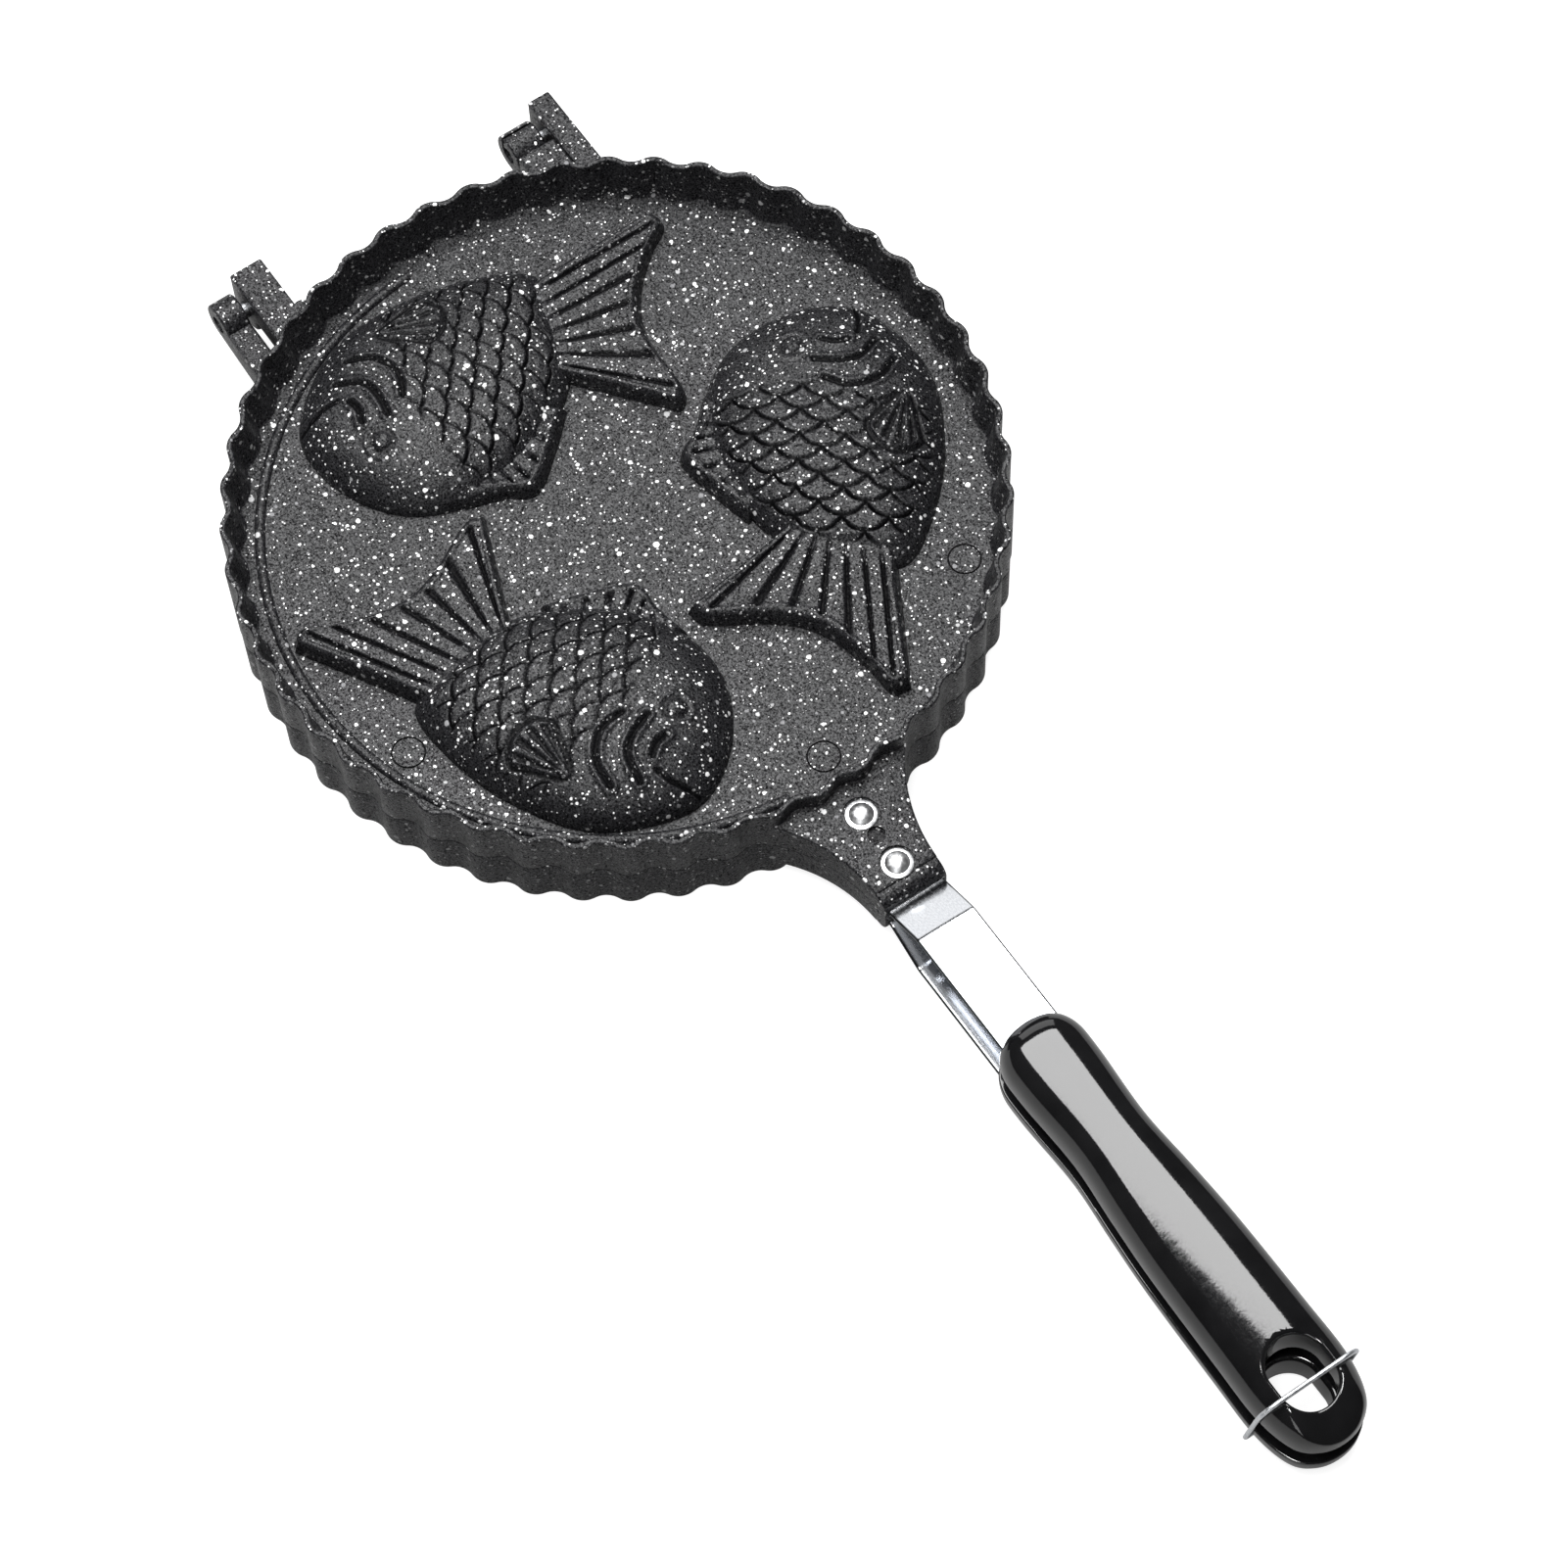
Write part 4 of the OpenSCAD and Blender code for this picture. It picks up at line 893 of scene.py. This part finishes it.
# Grip: a waisted outline under a rounded back, with an oval hanging hole
grip = {
    "front": 187.2, "rear": 323.4, "low": 4.1, "thick": 11.9, "power": 2.6, "spine": (199.5, 309.3),
    "side": [(189.0, 7.63), (194.7, 11.69), (204.2, 12.3), (225.2, 11.3), (243.2, 12.59), (261.2, 13.65),
             (288.8, 14.1), (305.8, 14.1), (317.0, 11.42), (321.9, 6.35)],
    "edge": 0.5, "halfWidth": 13, "edgeSteps": [(1, 0), (0.35, 0.1), (0.08, 0.45), (0, 1)],  # in, up
    "hole": {"x": 304.8, "width": 15.8, "length": 20.1, "flare": 1.3},
    "slot": ((186.0, -9.1, 8.1), (196.4, 9.1, 9.6)), "screw": (278.8, 3.9, 6.1),
    "wireHole": (0.8, 3.15), "swing": 27.25,  # radius and depth; radius of the path that the bar needs free
    "rounds": (208, 30), "cutter": 10,
}


def gripOutline(a):
    side = grip["side"]
    points = [(grip["front"], 0)] + [(x, -y) for x, y in side] + [(grip["rear"], 0)] + side[::-1]
    return spline(points, a, closed=True)


def gripShare(x, y):  # how far a place lies from the spine, where 1 is the outline
    edge = gripOutline(np.linspace(0, 0.5, 1001))
    high = grip["spine"][1]
    half = np.interp(x, edge[:, 0], -edge[:, 1])
    rear = edge[edge[:, 0] > high]
    way = np.arctan2(-rear[:, 1], rear[:, 0] - high)
    order = np.argsort(way)
    lengths = np.hypot(rear[:, 0] - high, rear[:, 1])
    reach = np.interp(np.arctan2(np.abs(y), x - high), way[order], lengths[order])
    return np.where(x > high, np.hypot(x - high, y) / reach, np.abs(y) / np.maximum(half, 0.01))


def gripHeight(x, y):
    s = np.clip(gripShare(x, y), 0, 1)
    return grip["low"] + grip["thick"] * (1 - s ** grip["power"]) ** (1 / grip["power"])


def clearWire(x, z):  # keeps the upper grip's rear below the path of the wire's bar
    px, pz = wire["pivot"]
    limit = pz + np.sqrt(np.maximum(grip["swing"] ** 2 - (x - px) ** 2, 0))
    return np.where(x > wire["bar"][0], np.minimum(z, limit), z)


def stadium(a, out):  # outline of the hanging hole, drawn out
    h = grip["hole"]
    half, r, turn = (h["length"] - h["width"]) / 2, h["width"] / 2, 2 * math.pi * a
    end = np.sign(np.cos(turn)) * (np.abs(np.cos(turn)) > 1e-9)
    return np.stack([h["x"] + half * end + (r + out) * np.cos(turn), (r + out) * np.sin(turn)], 1)


def holeCutter(upper):  # rows: how far out, from the lower face, the back or the parting plane, how far up
    flare = grip["hole"]["flare"]
    turns = np.radians(np.linspace(0, 90, 8))
    rows = [(flare + 0.5, 0, -1.5), (flare, 0, 0.0)]
    rows += [(flare * (1 - math.sin(t)), 0, flare * (1 - math.cos(t))) for t in turns[1:]]
    rows += [(flare * (1 - math.cos(t)), 1, -flare * (1 - math.sin(t))) for t in turns]
    rows += [(flare + 0.5, 1, 1.5), (flare + 0.5, 2, 30)]  # the last one is level, above the whole grip

    def ring(a, row):
        plan = stadium(a, row[:, 0])
        top = gripHeight(plan[:, 0], plan[:, 1])
        if upper:
            top = clearWire(plan[:, 0], top)
        start = np.where(row[:, 1] == 1, top, np.where(row[:, 1] == 0, grip["low"], 0))
        return np.column_stack([plan, start + row[:, 2]])

    return newPiece("hangingHole", stacked(128, rows, ring))


def makeGrip(name, upper):
    columns, rows = grip["rounds"]
    e, thick, power = grip["edge"], grip["thick"], grip["power"]
    levels = [(1 - inwards * e / grip["halfWidth"], up * e) for inwards, up in grip["edgeSteps"]]
    for t in np.linspace(0, math.pi / 2, rows)[1:-1]:
        levels.append(((1 - math.sin(t) ** power) ** (1 / power), e + (thick - e) * math.sin(t)))
    levels.append((0, thick))

    def ring(a, row):
        edge = gripOutline(a)
        spine = np.column_stack([np.clip(edge[:, 0], *grip["spine"]), np.zeros(len(edge))])
        plan = spine + (edge - spine) * row[:, :1]
        z = grip["low"] + row[:, 1]
        return np.column_stack([plan, clearWire(plan[:, 0], z) if upper else z])

    body = newPiece(name, stacked(columns, levels, ring))
    x, r, top = grip["screw"]
    cut(body, holeCutter(upper), newPiece("slot", block(*grip["slot"])),
        newPiece("recess", drum(r, (x, 0, top - grip["cutter"] / 2), grip["cutter"])))
    if not upper:
        r, bite = grip["wireHole"]
        for side in (-1, 1):
            middle = (wire["pivot"][0], side * (wire["leg"] - bite + grip["cutter"] / 2), -wire["pivot"][1])
            cut(body, newPiece("wireHole", drum(r, middle, grip["cutter"], "Y", 24)))
    return body


# Rivet: domed head on a flat ring, shank, closed end under the strap
rivet = {"head": 4.4, "ring": 0.7, "edge": 0.18, "slope": 0.36, "dome": 3.4, "step": 0.12, "rise": 1.7,
         "shank": 2.5, "tail": (3.8, 1.1), "tailEdge": 0.2, "strap": 2.4}


def makeRivet(name, x, seat):
    r = rivet
    ball = (r["dome"] ** 2 + r["rise"] ** 2) / (2 * r["rise"])
    base, edge, small = seat + r["ring"], r["edge"], r["tailEdge"]
    end = r["strap"] - r["tail"][1]
    profile = [(ball * math.sin(t), base + r["rise"] - ball * (1 - math.cos(t)))
               for t in np.linspace(0, math.asin(r["dome"] / ball), 16)]
    profile += [(r["dome"] + r["step"], base)]
    profile += arcPoints(r["head"] - edge, base - r["slope"] - edge, edge, 90, 0, 5)
    profile += [(r["head"], seat), (r["shank"], seat), (r["shank"], r["strap"]), (r["tail"][0], r["strap"])]
    profile += arcPoints(r["tail"][0] - small, end + small, small, 0, -90, 4) + [(0, end)]
    bm = lathe(profile, 72)
    bmesh.ops.translate(bm, vec=(x, 0, 0), verts=bm.verts)
    return newPiece(name, bm)


def makeWire():
    w = wire
    px, pz = w["pivot"]
    rise = math.hypot(w["bar"][0] - px, w["bar"][1] - pz)
    way = ((w["bar"][0] - px) / rise, (w["bar"][1] - pz) / rise)
    line = [(w["leg"] - w["bite"], 0.0)]
    line += arcPoints(w["leg"] - w["toe"], w["toe"], w["toe"], -90, 0, 9)
    line += [(w["leg"], h) for h in np.linspace(w["toe"] + 1, rise - w["shoulder"] - 1, 16)]
    line += arcPoints(w["leg"] - w["shoulder"], rise - w["shoulder"], w["shoulder"], 0, 90, 17)
    line += [(y, rise) for y in np.linspace(w["leg"] - w["shoulder"] - 1, 0, 8)]
    line = np.array(line + [(-y, h) for y, h in line[-2::-1]])
    step = np.gradient(line, axis=0)
    step /= np.linalg.norm(step, axis=1)[:, None]

    def ring(a, row):
        turn = 2 * math.pi * a
        y = row[:, 0] + w["radius"] * np.cos(turn) * row[:, 3]
        h = row[:, 1] - w["radius"] * np.cos(turn) * row[:, 2]
        out = w["radius"] * np.sin(turn)
        return np.column_stack([px + h * way[0] + out * way[1], y, pz + h * way[1] - out * way[0]])

    return newPiece("lockingWire", stacked(20, np.column_stack([line, step]), ring))


def placePiece(piece, body, node, matrix, material, angle=38):
    settle(piece, matrix, material, angle)
    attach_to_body(piece, body)
    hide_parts(node)


for half, (body, whole, matrix) in halves.items():
    placePiece(makeStrap(half + "Strap"), body, half + "_strap", matrix,
               polishedStainless, 25)
    placePiece(makeGrip(half + "Grip", half == "upper"), body, half + "_grip", matrix,
               mouldedBakelite, 45)
    for where, x, seat in zip(("inner", "outer"), ear["rivets"], ear["seats"]):
        placePiece(makeRivet("%s%sRivet" % (half, where.capitalize()), x, seat), body,
                   "%s_%s_rivet" % (half, where), matrix, brightAluminium)
placePiece(makeWire(), "wire", "locking_wire", upperPlace, drawnSteelWire)
for name in ("left_hinge_pin", "right_hinge_pin", "lower_grip_screw", "upper_grip_screw"):
    node = bpy.data.objects[name]
    node.data.materials.clear()
    node.data.materials.append(turnedSteel)
print("straps, grips, rivets and wire placed")


# Camera fitted to the photograph
camera = {
    "place": (0.463897, -0.305436, 1.156352), "lens": 109.67, "sensor": 36.0, "range": (0.01, 30),
    "right": (0.56828379, 0.82255884, -0.02122481), "down": (0.73405735, -0.51845761, -0.43859038),
    "ahead": (-0.37177056, 0.23366357, -0.89843641),
}
lens = bpy.data.cameras.new("photoCamera")
lens.lens, lens.sensor_width = camera["lens"], camera["sensor"]
lens.clip_start, lens.clip_end = camera["range"]
eye = bpy.data.objects.new("photoCamera", lens)
axes = (Vector(camera["right"]), -Vector(camera["down"]), -Vector(camera["ahead"]))
eye.matrix_world = Matrix.Translation(camera["place"]) @ Matrix(axes).transposed().to_4x4()
bpy.context.scene.collection.objects.link(eye)
bpy.context.scene.camera = eye
print("camera placed")

# White studio: a wide softbox over the pan, three small lamps, a pale floor and a white backdrop
studio = {
    # name, place, target, size and power
    "lamps": [("overhead", (-0.44, 0.08, 1.05), (0, 0, 0.02), (1.3, 0.72), 28),
              ("rearLeft", (-0.95, 0.34, 0.44), (-0.05, 0, 0.02), (0.9, 0.5), 2),
              ("nearCamera", (0.27, -0.25, 1.2), (-0.1, 0, 0.02), (0.2, 0.3), 8),
              ("front", (0.7, -0.75, 0.65), (0, 0, 0.02), (0.6, 0.6), 2.4)],
    "fill": 0.06, "mirrored": 0.05, "backdrop": 1.0,  # surroundings that light, are mirrored, are seen
    "floor": "#9a9a9a", "floorHalf": 6, "floorDrop": 0.0002,
    "glow": 0.84, "sheen": 0.1,                       # light of the floor where seen, and where mirrored
}
for name, stand, target, (long, wide), power in studio["lamps"]:
    light = bpy.data.lights.new(name, "AREA")
    light.shape, light.size, light.size_y, light.energy = "RECTANGLE", long, wide, power
    holder = bpy.data.objects.new(name, light)
    ahead = (Vector(target) - Vector(stand)).normalized()
    holder.matrix_world = Matrix.Translation(stand) @ ahead.to_track_quat("-Z", "Y").to_matrix().to_4x4()
    bpy.context.scene.collection.objects.link(holder)
    holder.visible_camera = False

world = bpy.data.worlds.new("studio")
bpy.context.scene.world = world
world.use_nodes = True
world.node_tree.nodes.clear()
rays = add(world, "LightPath").outputs
skies = [add(world, "Background", {"Color": (1, 1, 1, 1), "Strength": studio[key]}).outputs[0]
         for key in ("fill", "mirrored", "backdrop")]
lit = add(world, "MixShader", {0: rays["Is Glossy Ray"], 1: skies[0], 2: skies[1]}).outputs[0]
lit = add(world, "MixShader", {0: rays["Is Camera Ray"], 1: lit, 2: skies[2]}).outputs[0]
add(world, "OutputWorld", {0: lit})

paleFloor = newMaterial("paleFloor")
rays = add(paleFloor, "LightPath").outputs
sheen = maths(paleFloor, "MULTIPLY", rays["Is Glossy Ray"], studio["sheen"])
glow = maths(paleFloor, "MULTIPLY_ADD", rays["Is Camera Ray"], studio["glow"], sheen)
lit = add(paleFloor, "BsdfDiffuse", {"Color": linear(studio["floor"])}).outputs[0]
white = add(paleFloor, "Emission", {"Strength": glow}).outputs[0]
add(paleFloor, "OutputMaterial", {"Surface": add(paleFloor, "AddShader", {0: lit, 1: white}).outputs[0]})
floorMesh = bmesh.new()
bmesh.ops.create_grid(floorMesh, x_segments=1, y_segments=1, size=studio["floorHalf"])
floor = newPiece("floor", floorMesh)
floor.data.transform(Matrix.Translation((0, 0, -studio["floorDrop"])))
floor.data.materials.append(paleFloor)
print("studio made")

bpy.context.scene.view_settings.view_transform = "Standard"
